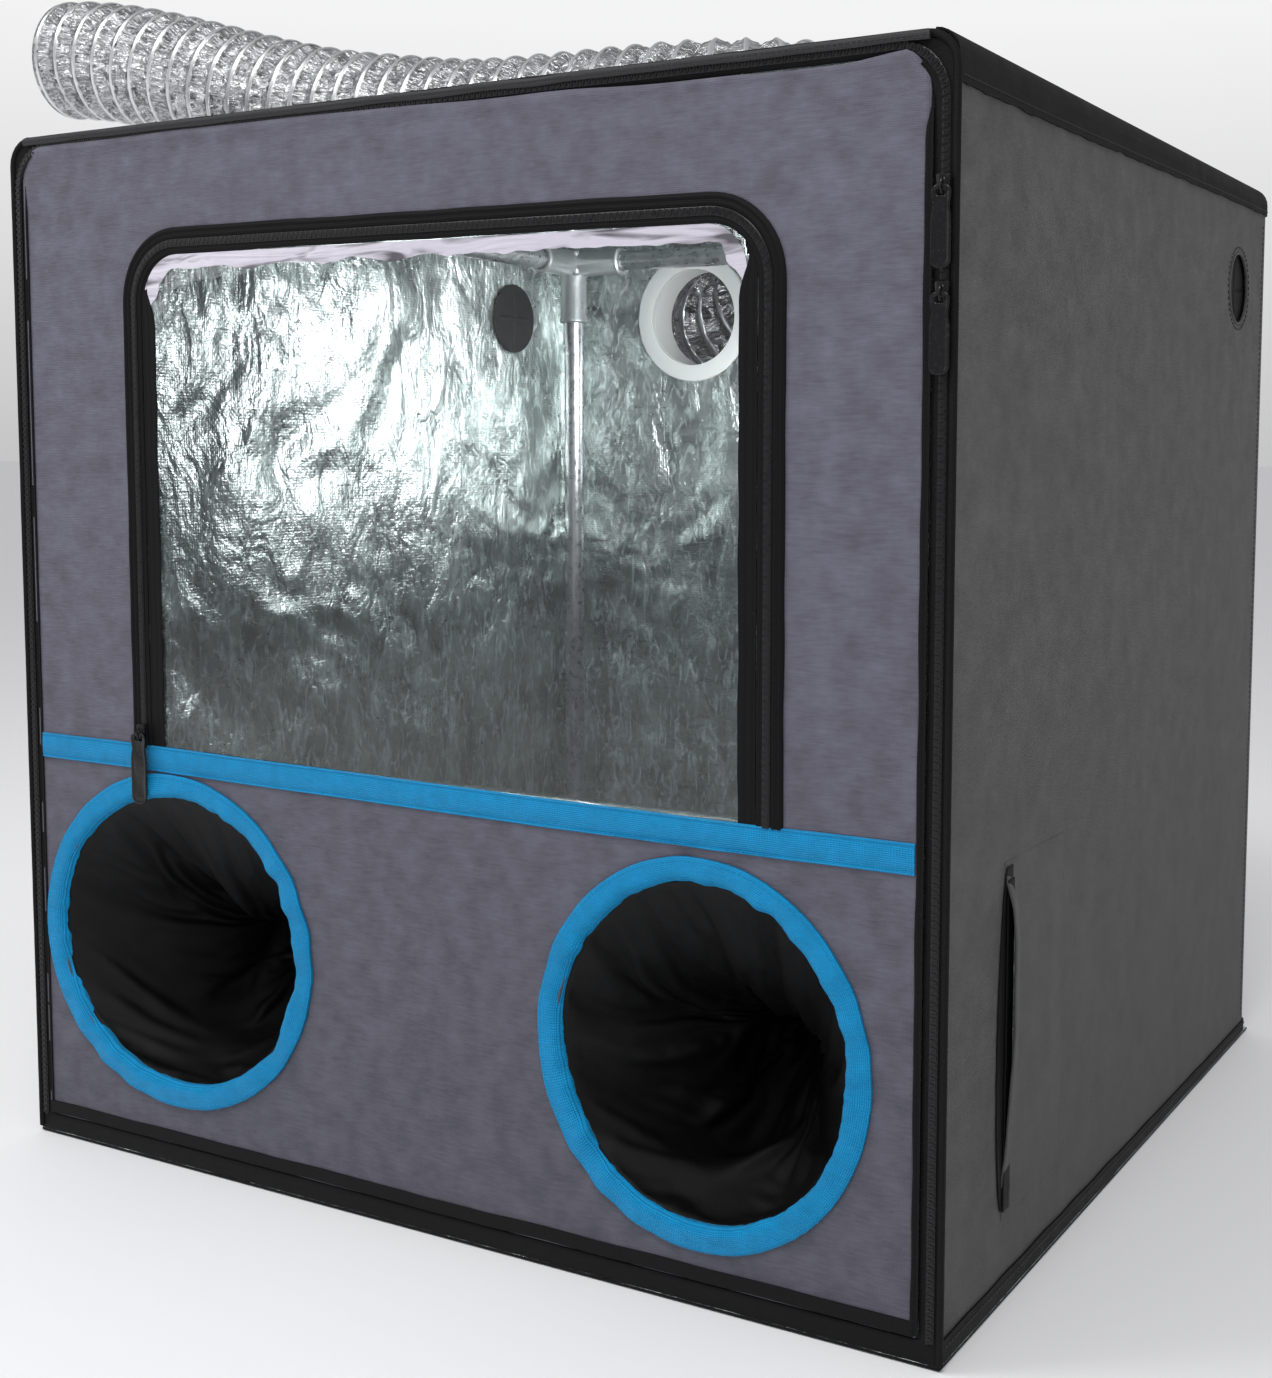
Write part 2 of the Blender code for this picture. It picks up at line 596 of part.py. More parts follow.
def make_side_flap(grey, black):
    """The flap over the side opening, sewn on at its rear edge, with hook-and-loop strips at its front."""
    hook_x = WALL_X + GAP
    loop_x = hook_x + HOOK + GAP
    flap_x = loop_x + HOOK + GAP
    lip = SIDE_HOLE_FRONT - FLAP_LIP
    middle = (SIDE_HOLE_BOTTOM + SIDE_HOLE_TOP) / 2
    hinge = pivot("side_flap_hinge", (flap_x, SIDE_HOLE_BACK + FLAP_LAP, middle))
    bottom, top = SIDE_HOLE_BOTTOM - FLAP_LAP, SIDE_HOLE_TOP + FLAP_LAP
    flap = prism(
        "side_flap", rectangle(lip, SIDE_HOLE_BACK + FLAP_LAP, bottom, top), "X", flap_x, flap_x + FLAP, grey
    )
    strip = rectangle(lip + 0.002, lip + 0.002 + HOOK_WIDTH, bottom + 0.006, top - 0.006)
    loop = prism("side_loop_strip", strip, "X", loop_x, loop_x + HOOK, black)
    prism("side_hook_strip", strip, "X", hook_x, hook_x + HOOK, black)
    parent(flap, hinge)
    parent(loop, hinge)


def smooth_route(route, steps):
    """Points of a curve that passes through every point of the route."""
    points = [Vector(p) for p in route]
    ends = [2 * points[0] - points[1]] + points + [2 * points[-1] - points[-2]]
    made = []
    for i in range(1, len(ends) - 2):
        a, b, c, d = ends[i - 1 : i + 3]
        for k in range(steps):
            t = k / steps
            made.append(0.5 * (
                2 * b + (c - a) * t + (2 * a - 5 * b + 4 * c - d) * t * t + (3 * b - a - 3 * c + d) * t ** 3
            ))
    return made + [points[-1]]


def make_duct(foil, white, steel):
    """The port's flange and inner ring, the band clamp and the duct itself."""
    at = (DUCT_X, WALL_Y + GAP, DUCT_Z)
    outward = (0, 1, 0)
    back = -GAP - SKIN - GAP - FLANGE - GAP
    inner, outer = SPIGOT_RADIUS - SPIGOT_WALL, SPIGOT_RADIUS
    plate_low = TRIM + GAP  # clear of the top trim
    plate_high = plate_low + FLANGE
    profile = [
        (inner, back), (outer, back), (outer, plate_low), (outer + FLANGE_WIDTH, plate_low),
        (outer + FLANGE_WIDTH, plate_high), (outer, plate_high), (outer, SPIGOT_OUT), (inner, SPIGOT_OUT),
    ]
    turned("duct_flange", profile, white, 32, facing(outward, at))
    low = back + GAP
    turned(
        "duct_flange_ring", ring_profile(outer + GAP, outer + FLANGE_WIDTH, low, low + FLANGE), white, 32,
        facing(outward, at),
    )
    clamp_inner = DUCT_RADIUS
    clamp_low = plate_high + 0.006
    band = ring_profile(clamp_inner, clamp_inner + CLAMP, clamp_low, clamp_low + CLAMP_WIDTH)
    clamp = turned("duct_clamp", band, steel, 32, facing(outward, at))
    block_y = WALL_Y + GAP + clamp_low
    block = prism(
        "clamp_screw",
        rectangle(DUCT_X - 0.009, DUCT_X + 0.009, DUCT_Z - clamp_inner - 0.0075, DUCT_Z - clamp_inner - 0.0004),
        "Y", block_y - 0.001, block_y + CLAMP_WIDTH + 0.001, steel,
    )
    combine(clamp, block, "UNION")
    curve = bpy.data.curves.new("duct", "CURVE")
    curve.dimensions = "3D"
    curve.bevel_depth = DUCT_RADIUS
    curve.bevel_resolution = 3
    curve.use_fill_caps = True
    points = smooth_route(DUCT_ROUTE, DUCT_STEPS)
    spline = curve.splines.new("POLY")
    spline.points.add(len(points) - 1)
    for target, point in zip(spline.points, points):
        target.co = (*point, 1.0)
    curve.materials.append(foil)
    duct = bpy.data.objects.new("duct", curve)
    bpy.context.scene.collection.objects.link(duct)


def main():
    clear_scene()
    grey = material("grey_fabric", (0.115, 0.113, 0.140), 0.85)
    side_grey = material("side_fabric", (0.072, 0.072, 0.074), 0.85)
    black = material("black_tape", (0.012, 0.012, 0.013), 0.70)
    blue = material("blue_webbing", (0.020, 0.250, 0.480), 0.65)
    lining = material("sleeve_fabric", (0.006, 0.006, 0.006), 0.90)
    film = material("clear_film", (0.80, 0.82, 0.88), 0.10, alpha=0.30)
    foil = material("duct_foil", (0.62, 0.63, 0.66), 0.25, 1.0)
    steel = material("pole_steel", (0.55, 0.56, 0.58), 0.25, 1.0)
    socket = material("corner_metal", (0.60, 0.60, 0.62), 0.40, 1.0)
    white = material("white_plastic", (0.75, 0.75, 0.74), 0.45)
    metal = material("zip_black", (0.010, 0.010, 0.011), 0.35)
    make_frame(steel, socket)
    make_cover(side_grey, black)
    door_hinge = make_door(grey, black, blue, lining)
    make_window(door_hinge, film, black)
    make_zips(door_hinge, metal)
    make_ports(black)
    make_side_flap(side_grey, black)
    make_duct(foil, white, steel)


main()
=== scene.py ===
"""Printer enclosure tent: the finished look of its cover, zips, window, sleeves, frame and duct.

Metres, +Z up, in the frame's own place: the front faces -Y and the tent stands on z = 0.
"""

import math

import bmesh
import bpy
from mathutils import Euler, Matrix, Vector, noise


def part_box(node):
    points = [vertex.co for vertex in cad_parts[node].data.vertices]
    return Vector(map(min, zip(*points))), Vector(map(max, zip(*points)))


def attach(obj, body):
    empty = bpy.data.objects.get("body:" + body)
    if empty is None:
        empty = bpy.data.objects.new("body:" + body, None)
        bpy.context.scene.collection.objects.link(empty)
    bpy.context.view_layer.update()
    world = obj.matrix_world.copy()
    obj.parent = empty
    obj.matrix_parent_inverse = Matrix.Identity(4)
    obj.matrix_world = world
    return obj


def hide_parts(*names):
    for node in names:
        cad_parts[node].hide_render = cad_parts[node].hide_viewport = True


bl_info = {
    "name": "Printer enclosure tent",
    "version": (1, 0, 0),
    "blender": (4, 5, 0),
    "location": "View3D > Sidebar > Tent",
    "description": "Builds the finished look of a printer enclosure tent round its frame",
    "category": "Object",
}

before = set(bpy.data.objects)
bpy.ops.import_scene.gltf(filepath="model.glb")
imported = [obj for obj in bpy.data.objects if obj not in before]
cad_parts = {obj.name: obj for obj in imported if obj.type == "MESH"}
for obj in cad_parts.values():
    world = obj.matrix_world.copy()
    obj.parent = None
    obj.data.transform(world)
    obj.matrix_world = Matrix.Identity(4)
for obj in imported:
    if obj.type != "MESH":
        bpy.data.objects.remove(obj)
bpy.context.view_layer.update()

# The tent's faces, as the frame has them
LEFT, FRONT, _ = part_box("roof_panel")[0]
RIGHT, _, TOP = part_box("roof_panel")[1]
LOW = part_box("front_surround")[0].z
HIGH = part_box("front_surround")[1].z
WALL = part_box("right_wall")[1].x
BACK_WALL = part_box("back_wall")[1].y
DOOR_LOW, DOOR_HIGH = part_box("door_panel")
FILM_LOW, FILM_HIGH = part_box("window_film")
FRAME_LOW, FRAME_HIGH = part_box("window_frame_tape")
COIL_LOW, COIL_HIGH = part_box("door_zip_coil")
TAU = 2 * math.pi

# Sizes that several pieces share
WINDOW_CORNER = 0.030
DOOR_CORNER = 0.022
WINDOW_FOOT = 0.2705
BAND_TOP = 0.2782
DOOR_EDGE = 0.6628
SHOULDER = 0.012
LAP = SHOULDER * (1 - math.sqrt(0.5))
ARM_HEM = 0.0125
CUFF = 0.0335
PORT_HOLE = 0.0255
VENT_HOLE = 0.0485
SIDE_OPENING = (-0.222, 0.056), (-0.150, 0.237)
SPIGOT_BORE = 0.0440
CLAMP_INSIDE = 0.0498
CORNER_HUB = Vector((0.3025, 0.2925, 0.0))
CORNER_FOOT, CORNER_TOP = 0.028, 0.642
SOCKET_REACH = 0.0575
SLEEVE_SHIFT = 0.045
SLEEVE_FRAMES = 30
TOOTH_LEAN = 0.35

# The faces' directions: across, up and outward
FACES = {
    "front": (Vector((1, 0, 0)), Vector((0, 0, 1)), Vector((0, -1, 0))),
    "back": (Vector((1, 0, 0)), Vector((0, 0, 1)), Vector((0, 1, 0))),
    "left": (Vector((0, 1, 0)), Vector((0, 0, 1)), Vector((-1, 0, 0))),
    "right": (Vector((0, 1, 0)), Vector((0, 0, 1)), Vector((1, 0, 0))),
    "top": (Vector((1, 0, 0)), Vector((0, 1, 0)), Vector((0, 0, 1))),
    "bottom": (Vector((1, 0, 0)), Vector((0, 1, 0)), Vector((0, 0, -1))),
}

# The duct's centre line, from the back wall over the roof to its free end
DUCT_ROUTE = [
    (-0.1865, 0.3517, 0.5900), (-0.1865, 0.3620, 0.5900), (-0.1865, 0.3740, 0.5900),
              (-0.1810, 0.3985, 0.5955),
    (-0.1680, 0.4240, 0.6130), (-0.1460, 0.4360, 0.6430), (-0.1180, 0.4300, 0.6750),
              (-0.0850, 0.4080, 0.7020),
    (-0.0500, 0.3720, 0.7200), (-0.0200, 0.3300, 0.7235), (0.0100, 0.2940, 0.7228),
              (0.0340, 0.2540, 0.7215),
    (0.0520, 0.2080, 0.7205), (0.0620, 0.1600, 0.7203), (0.0580, 0.1120, 0.7203), (0.0360, 0.0720, 0.7203),
    (-0.0050, 0.0470, 0.7203), (-0.0550, 0.0370, 0.7203), (-0.1080, 0.0320, 0.7203),
              (-0.1600, 0.0260, 0.7203),
    (-0.2000, 0.0220, 0.7210), (-0.2380, 0.0180, 0.7245), (-0.2790, 0.0140, 0.7305),
              (-0.3260, 0.0090, 0.7375),
    (-0.3740, 0.0040, 0.7480), (-0.4230, -0.0010, 0.7610), (-0.4750, -0.0070, 0.7756),
              (-0.5260, -0.0120, 0.7890),
    (-0.5750, -0.0170, 0.7990), (-0.6140, -0.0210, 0.8030),
]


def size(label, value, description):
    return bpy.props.FloatProperty(
        name=label, description=description, default=value, min=0.0, unit="LENGTH", precision=4
    )


def tint(label, value, description):
    return bpy.props.FloatVectorProperty(
        name=label, description=description, default=value, min=0.0, max=1.0, size=3, subtype="COLOR"
    )


class TentCloth(bpy.types.PropertyGroup):
    front: tint("Front cloth", (0.121, 0.117, 0.156), "Grey cloth of the door")
    side: tint("Wall cloth", (0.080, 0.080, 0.080), "Darker grey cloth of the walls")
    black: tint("Black cloth", (0.0045, 0.0043, 0.0050), "Floor, surround, trims and zip tapes")
    charcoal: tint("Charcoal cloth", (0.026, 0.026, 0.028), "Roof's outside and the stitching")
    sleeve: tint("Sleeve cloth", (0.0022, 0.0021, 0.0023), "Arm sleeves and port membranes")
    lining: tint("Silver lining", (0.60, 0.66, 0.65), "Aluminised inside of the cover")
    thickness: size("Cloth thickness", 0.0012, "Thickness of the laminated cloth")
    thread: size("Thread", 0.0011, "Width of one thread of the weave")
    swell: size("Swell", 0.0016, "How far the cloth stands out of true")


class TentWindow(bpy.types.PropertyGroup):
    film: tint("Film", (0.93, 0.95, 0.97), "Clear film of the window")
    # The milky edge is painted glare: it stands in for light reflected off the film's creases.
    glare: tint("Painted glare edge", (0.62, 0.59, 0.68), "Creased film edge with painted glare")
    thickness: size("Film thickness", 0.0007, "Thickness of the film")
    crease: size("Crease", 0.0080, "Width of the painted glare strip along the top")


class TentWebbing(bpy.types.PropertyGroup):
    blue: tint("Blue webbing", (0.003, 0.292, 0.620), "Band and arm bindings")
    band_height: size("Band height", 0.0164, "Width of the band across the door")
    slope: size("Band slope", 0.0066, "How much lower the band's right end is")
    binding: size("Binding", 0.0150, "Width of the binding round an arm opening")
    gather: size("Gather", 0.0013, "How far the binding's inner edge puckers")


class TentZips(bpy.types.PropertyGroup):
    enamel: tint("Zip enamel", (0.006, 0.006, 0.007), "Sliders and pulls")
    nylon: tint("Zip coil", (0.009, 0.009, 0.010), "Nylon teeth")
    pitch: size("Tooth pitch", 0.0019, "From one tooth to the next")
    wire: size("Bail wire", 0.0011, "Thickness of a slider's wire bail")


class TentDuct(bpy.types.PropertyGroup):
    foil: tint("Foil", (0.82, 0.84, 0.85), "Aluminium foil of the duct")
    radius: size("Radius", 0.0495, "Outer radius over the wire")
    pitch: size("Wire pitch", 0.0205, "From one turn of the wire to the next")
    wire: size("Wire ridge", 0.0014, "How far the wire stands out of the foil")
    crumple: size("Crumple", 0.0024, "Depth of the foil's creases")


class TentFrame(bpy.types.PropertyGroup):
    steel: tint("Steel", (0.62, 0.63, 0.65), "Poles and rails")
    cast: tint("Corner metal", (0.52, 0.54, 0.55), "Three-way corners")
    plastic: tint("White plastic", (0.50, 0.51, 0.50), "Exhaust flange")
    bead: size("Socket bead", 0.0009, "Rolled rim at a socket's mouth")


class TentStage(bpy.types.PropertyGroup):
    floor: tint("Floor", (0.95, 0.95, 0.955), "Pale floor")
    reach: size("Floor reach", 60.0, "Half the floor's width")


def smooth(value, low, high):
    """0 below low, 1 above high, and a soft step between them."""
    share = min(max((value - low) / (high - low), 0.0), 1.0)
    return share * share * (3 - 2 * share)


def ripple(x, y, grain, seed=0.0):
    """Soft noise from -1 to 1 whose waves are about one grain wide."""
    return noise.noise(Vector((x / grain, y / grain, seed)))


def ridge(x, y, grain, seed=0.0):
    """Noise from 0 to 1 with sharp crests, as folds in foil have."""
    return 1.0 - abs(noise.noise(Vector((x / grain, y / grain, seed)))) * 2.0


# Outlines: signed distances, negative inside


def round_box(low, high, radius, foot=0.0):
    """A rectangle whose upper corners have this radius, and whose lower corners have the foot's."""
    centre = ((low[0] + high[0]) / 2, (low[1] + high[1]) / 2)
    half = ((high[0] - low[0]) / 2, (high[1] - low[1]) / 2)

    def distance(u, v):
        bend = radius if v > centre[1] else foot
        p = abs(u - centre[0]) - half[0] + bend
        q = abs(v - centre[1]) - half[1] + bend
        return min(max(p, q), 0.0) + math.hypot(max(p, 0.0), max(q, 0.0)) - bend

    return distance


def oval(centre, half):
    def distance(u, v):
        return (math.hypot((u - centre[0]) / half[0], (v - centre[1]) / half[1]) - 1.0) * min(half)

    return distance


def pull_onto(shape, u, v):
    """The nearest point on an outline, by a few steps down its slope."""
    tiny = 1e-5
    for _ in range(4):
        away = shape(u, v)
        du = (shape(u + tiny, v) - shape(u - tiny, v)) / (2 * tiny)
        dv = (shape(u, v + tiny) - shape(u, v - tiny)) / (2 * tiny)
        slope = max(du * du + dv * dv, 0.05)
        u, v = u - away * du / slope, v - away * dv / slope
    return u, v


# Shapes


def grid(columns, rows):
    """A square grid of cells, and each corner's column and row."""
    bm = bmesh.new()
    bmesh.ops.create_grid(bm, x_segments=columns, y_segments=rows, size=0.5)
    return bm, {v: (round((v.co.x + 0.5) * columns), round((v.co.y + 0.5) * rows)) for v in bm.verts}


def sheet(face, low, high, step, out, outline=None, holes=()):
    """A sheet of square cells on one face, inside an outline and outside the holes, out(u, v) proud."""
    columns = max(1, round((high[0] - low[0]) / step))
    rows = max(1, round((high[1] - low[1]) / step))
    bm, corner = grid(columns, rows)
    for v, (i, j) in corner.items():
        v.co = (low[0] + (high[0] - low[0]) * i / columns, low[1] + (high[1] - low[1]) * j / rows, 0.0)
    shapes = ([(outline, 1)] if outline else []) + [(hole, -1) for hole in holes]
    for shape, side in shapes:
        spare = [f for f in bm.faces if side * shape(*f.calc_center_median().xy) > 0]
        bmesh.ops.delete(bm, geom=spare, context="FACES")
        for v in [v for v in bm.verts if v.is_boundary and abs(shape(v.co.x, v.co.y)) < step]:
            v.co.x, v.co.y = pull_onto(shape, v.co.x, v.co.y)
    across, up, outward = FACES[face]
    uv = bm.loops.layers.uv.new("Cloth")
    for f in bm.faces:
        for loop in f.loops:
            loop[uv].uv = loop.vert.co.xy
    for v in bm.verts:
        v.co = across * v.co.x + up * v.co.y + outward * out(v.co.x, v.co.y)
    bmesh.ops.dissolve_degenerate(bm, dist=1e-5, edges=bm.edges)
    if across.cross(up).dot(outward) < 0:
        bmesh.ops.reverse_faces(bm, faces=bm.faces)
    return bm


def loft(stations, sides, place, loop=False, ring=True, caps=True, span=(1.0, 1.0), marks=None):
    """A skin over stations, each a ring or an open line of points that place(station, side) gives.

    span is its size along and across for its UV map, or marks are the distances across.
    """
    rows = stations if loop else stations - 1
    columns = sides if ring else sides - 1
    bm, corner = grid(columns, rows)
    uv = bm.loops.layers.uv.new("Cloth")
    for f in bm.faces:
        for one in f.loops:
            i, j = corner[one.vert]
            one[uv].uv = (span[0] * j / rows, marks[i] if marks else span[1] * i / columns)
    for v, (i, j) in corner.items():
        v.co = place(j % stations if loop else j, i % sides if ring else i)
    bmesh.ops.remove_doubles(bm, verts=bm.verts, dist=1e-6)
    if ring and caps and not loop:
        bmesh.ops.holes_fill(bm, edges=[e for e in bm.edges if e.is_boundary], sides=0)
    bmesh.ops.recalc_face_normals(bm, faces=bm.faces)
    return bm


def make(name, bm, body, finishes, nodes=(), angle=40.0):
    """Turns a bmesh into a finished piece that rides on a body and stands for some of the frame's nodes."""
    mesh = bpy.data.meshes.new(name)
    bm.to_mesh(mesh)
    bm.free()
    for label in finishes:
        mesh.materials.append(finish(label))
    mesh.shade_smooth()
    mesh.set_sharp_from_angle(angle=math.radians(angle))
    piece = bpy.data.objects.new(name, mesh)
    bpy.context.scene.collection.objects.link(piece)
    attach(piece, body)
    if nodes:
        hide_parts(*nodes)
    return piece


def thicken(piece, thickness, lined=False):
    """Gives a sheet its thickness, with the second material on its back when it is lined."""
    step = piece.modifiers.new("thickness", "SOLIDIFY")
    step.thickness = thickness
    step.offset = -1.0
    step.use_even_offset = False
    if lined:
        step.material_offset = 1


def soften(piece, width):
    """Rounds a piece's hard edges."""
    step = piece.modifiers.new("soft edges", "BEVEL")
    step.width = width
    step.segments = 2
    step.limit_method = "ANGLE"
    step.angle_limit = math.radians(40)


def round_path(low, high, radius, step, foot=None):
    """Points and inward directions round a rectangle with round corners, open below without a foot."""
    (x0, z0), (x1, z1) = low, high
    path = []

    def run(a, b, inward):
        count = max(1, round(math.dist(a, b) / step))
        for k in range(count):
            path.append((Vector(a).lerp(Vector(b), k / count), Vector(inward)))

    def turn(centre, start, bend):
        count = max(3, round(bend * math.pi / 2 / min(step, bend / 4)))
        for k in range(count):
            angle = start - k * math.pi / 2 / count
            ray = Vector((math.cos(angle), math.sin(angle)))
            path.append((Vector(centre) + bend * ray, -ray))

    base = z0 + (foot or 0.0)
    run((x0, base), (x0, z1 - radius), (1, 0))
    turn((x0 + radius, z1 - radius), math.pi, radius)
    run((x0 + radius, z1), (x1 - radius, z1), (0, -1))
    turn((x1 - radius, z1 - radius), math.pi / 2, radius)
    run((x1, z1 - radius), (x1, base), (-1, 0))
    if foot is None:
        path.append((Vector((x1, z0)), Vector((-1, 0))))
        return path
    turn((x1 - foot, z0 + foot), 0.0, foot)
    run((x1 - foot, z0), (x0 + foot, z0), (0, 1))
    turn((x0 + foot, z0 + foot), -math.pi / 2, foot)
    return path


def path_length(path):
    return sum((b[0] - a[0]).length for a, b in zip(path, path[1:]))


def section_marks(section):
    """How far round a closed section each of its points is."""
    marks = [0.0]
    for a, b in zip(section, section[1:] + section[:1]):
        marks.append(marks[-1] + math.dist(a, b))
    return marks


def front_strip(path, section, out=0.0, relief=None, wander=0.0, seed=0.0, loop=False):
    """A strip on the front face along a path, from a section of (inward, outward) points."""
    reach = path_length(path)

    def place(station, side):
        point, inward = path[station]
        across, proud = section[side]
        if wander:
            across += wander * ripple(point.x, point.y, 0.035, seed)
        at = point + inward * across
        lift = relief(at.x, at.y) if relief else 0.0
        return Vector((at.x, FRONT - out - proud - lift, at.y))

    return loft(len(path), len(section), place, loop=loop, span=(reach, 0.0), marks=section_marks(section))


def flat_section(width, thickness, crown=0.0):
    """A strip's section: flat behind, with rolled edges and a crowned face in front."""
    roll = 0.0003
    return [
        (width, 0.0), (0.0, 0.0), (0.0, thickness - roll), (roll, thickness),
        (width * 0.3, thickness + crown), (width * 0.7, thickness + crown),
        (width - roll, thickness), (width, thickness - roll),
    ]


def add_box(bm, centre, size_of, turn=Matrix.Identity(3)):
    """A small box in a bmesh, turned and placed."""
    scale = Matrix.Diagonal((*size_of, 1.0))
    bmesh.ops.create_cube(bm, size=1.0, matrix=Matrix.Translation(centre) @ turn.to_4x4() @ scale)


def add_stitches(bm, points, outs=None, pitch=0.0034, share=0.62, thick=0.00055):
    """A row of stitches along points, facing along outs, or forwards."""
    outs = outs or [FACES["front"][2]] * len(points)
    travelled, due = 0.0, pitch / 2
    for k in range(len(points) - 1):
        a, b = points[k], points[k + 1]
        leg = (b - a).length
        while leg > 1e-9 and due <= travelled + leg:
            t = (due - travelled) / leg
            along = (b - a).normalized()
            out = (outs[k] - along * outs[k].dot(along)).normalized()
            turn = Matrix((along, out.cross(along), out)).transposed()
            add_box(bm, a.lerp(b, t), (pitch * share, thick, thick * 0.8), turn)
            due += pitch
        travelled += leg


def add_teeth(bm, path, pitch, length, height, out):
    """Zip teeth along a path on the front face: short leaning bars across the coil's centre line."""
    travelled, due, count = 0.0, 0.0, 0
    for (a, inward), (b, _) in zip(path, path[1:]):
        leg = (b - a).length
        while leg > 1e-9 and due <= travelled + leg:
            at = a.lerp(b, (due - travelled) / leg)
            along = Vector((b.x - a.x, 0.0, b.y - a.y)).normalized()
            across = Vector((inward.x, 0.0, inward.y))
            across = (across + along * (TOOTH_LEAN if count % 2 else -TOOTH_LEAN)).normalized()
            up = Vector((0, -1, 0))
            turn = Matrix((across, up.cross(across), up)).transposed()
            add_box(bm, Vector((at.x, FRONT - out - height / 2, at.y)), (length, pitch * 0.52, height),
                    turn)
            due += pitch
            count += 1
        travelled += leg


# Finishes


class Nodes:
    """Adds shader nodes to a tree and joins them."""

    def __init__(self, tree):
        self.tree = tree

    def put(self, socket, value):
        if isinstance(value, bpy.types.NodeSocket):
            self.tree.links.new(value, socket)
        else:
            socket.default_value = value

    def add(self, kind, values=None, **settings):
        node = self.tree.nodes.new(kind)
        for name, value in settings.items():
            setattr(node, name, value)
        for name, value in (values or {}).items():
            self.put(node.inputs[name], value)
        return node

    def sum(self, operation, *values, clamp=False):
        node = self.add("ShaderNodeMath", operation=operation, use_clamp=clamp)
        for socket, value in zip(node.inputs, values):
            self.put(socket, value)
        return node.outputs[0]

    def span(self, value, low, high, to_low=0.0, to_high=1.0):
        limits = {"Value": value, "From Min": low, "From Max": high, "To Min": to_low, "To Max": to_high}
        return self.add("ShaderNodeMapRange", limits).outputs["Result"]

    def blend(self, share, a, b, way="MIX"):
        node = self.add("ShaderNodeMix", data_type="RGBA", blend_type=way)
        for place, value in ((0, share), (6, a), (7, b)):
            self.put(node.inputs[place], value)
        return node.outputs[2]

    def group(self, tree, **values):
        return self.add("ShaderNodeGroup", values, node_tree=tree).outputs[0]

    def bump(self, height, distance, strength=1.0, normal=None):
        values = {"Height": height, "Distance": distance, "Strength": strength}
        if normal:
            values["Normal"] = normal
        return self.add("ShaderNodeBump", values).outputs["Normal"]

    def clouds(self, place, scale, detail, distortion=0.0):
        values = {"Vector": place, "Scale": scale, "Detail": detail, "Distortion": distortion}
        return self.add("ShaderNodeTexNoise", values).outputs["Fac"]

    def stretch(self, place, scale):
        return self.add("ShaderNodeMapping", {"Vector": place, "Scale": scale}).outputs[0]

    def apart(self, place):
        return self.add("ShaderNodeSeparateXYZ", {0: place}).outputs

    def vector(self, operation, a, b):
        return self.add("ShaderNodeVectorMath", {0: a, 1: b}, operation=operation).outputs

    def darken(self, colour, factor):
        grey = self.add("ShaderNodeCombineColor", dict.fromkeys(("Red", "Green", "Blue"), factor))
        return self.blend(1.0, colour, grey.outputs[0], way="MULTIPLY")

    def place(self):
        return self.add("ShaderNodeTexCoord").outputs["Object"]

    def cloth_map(self):
        return self.add("ShaderNodeUVMap", uv_map="Cloth").outputs["UV"]


def node_group(name, inputs, output, build):
    """A shader node group with named sockets, built once."""
    if name in bpy.data.node_groups:
        return bpy.data.node_groups[name]
    tree = bpy.data.node_groups.new(name, "ShaderNodeTree")
    for label, kind, value in inputs:
        socket = tree.interface.new_socket(label, in_out="INPUT", socket_type=kind)
        if value is not None:
            socket.default_value = value
    tree.interface.new_socket(output, in_out="OUTPUT", socket_type="NodeSocketFloat")
    source = tree.nodes.new("NodeGroupInput").outputs
    target = tree.nodes.new("NodeGroupOutput").inputs
    build(Nodes(tree), source, target)
    return tree


def weave_group():
    """Plain weave: threads a Thread apart that pass over and under each other."""

    def build(nodes, source, target):
        apart = nodes.apart(source["Place"])
        turns = [nodes.sum("DIVIDE", apart[k], source["Thread"]) for k in (0, 1)]
        waves = [nodes.sum("SINE", nodes.sum("MULTIPLY", turn, math.pi)) for turn in turns]
        over = nodes.span(nodes.sum("MULTIPLY", waves[0], waves[1]), -0.25, 0.25)
        warp, weft = (nodes.sum("ABSOLUTE", wave) for wave in waves)
        lower = nodes.sum("MULTIPLY", weft, nodes.sum("SUBTRACT", 1.0, over))
        height = nodes.sum("ADD", nodes.sum("MULTIPLY", warp, over), lower)
        nodes.put(target["Height"], height)

    inputs = [("Place", "NodeSocketVector", None), ("Thread", "NodeSocketFloat", 0.001)]
    return node_group("weave", inputs, "Height", build)


def mottle_group():
    """Uneven dye: soft blotches with fine streaks across them, from 0 to 1."""

    def build(nodes, source, target):
        scale = nodes.sum("DIVIDE", 1.0, source["Grain"])
        soft = nodes.clouds(source["Place"], scale, 4.0)
        long = nodes.vector("MULTIPLY", source["Place"], (0.25, 1.0, 1.6))[0]
        fine = nodes.clouds(long, nodes.sum("MULTIPLY", scale, 6.0), 2.0)
        both = nodes.sum("ADD", nodes.sum("MULTIPLY", soft, 0.6), nodes.sum("MULTIPLY", fine, 0.4))
        nodes.put(target["Share"], nodes.span(both, 0.32, 0.68))

    inputs = [("Place", "NodeSocketVector", None), ("Grain", "NodeSocketFloat", 0.03)]
    return node_group("mottle", inputs, "Share", build)


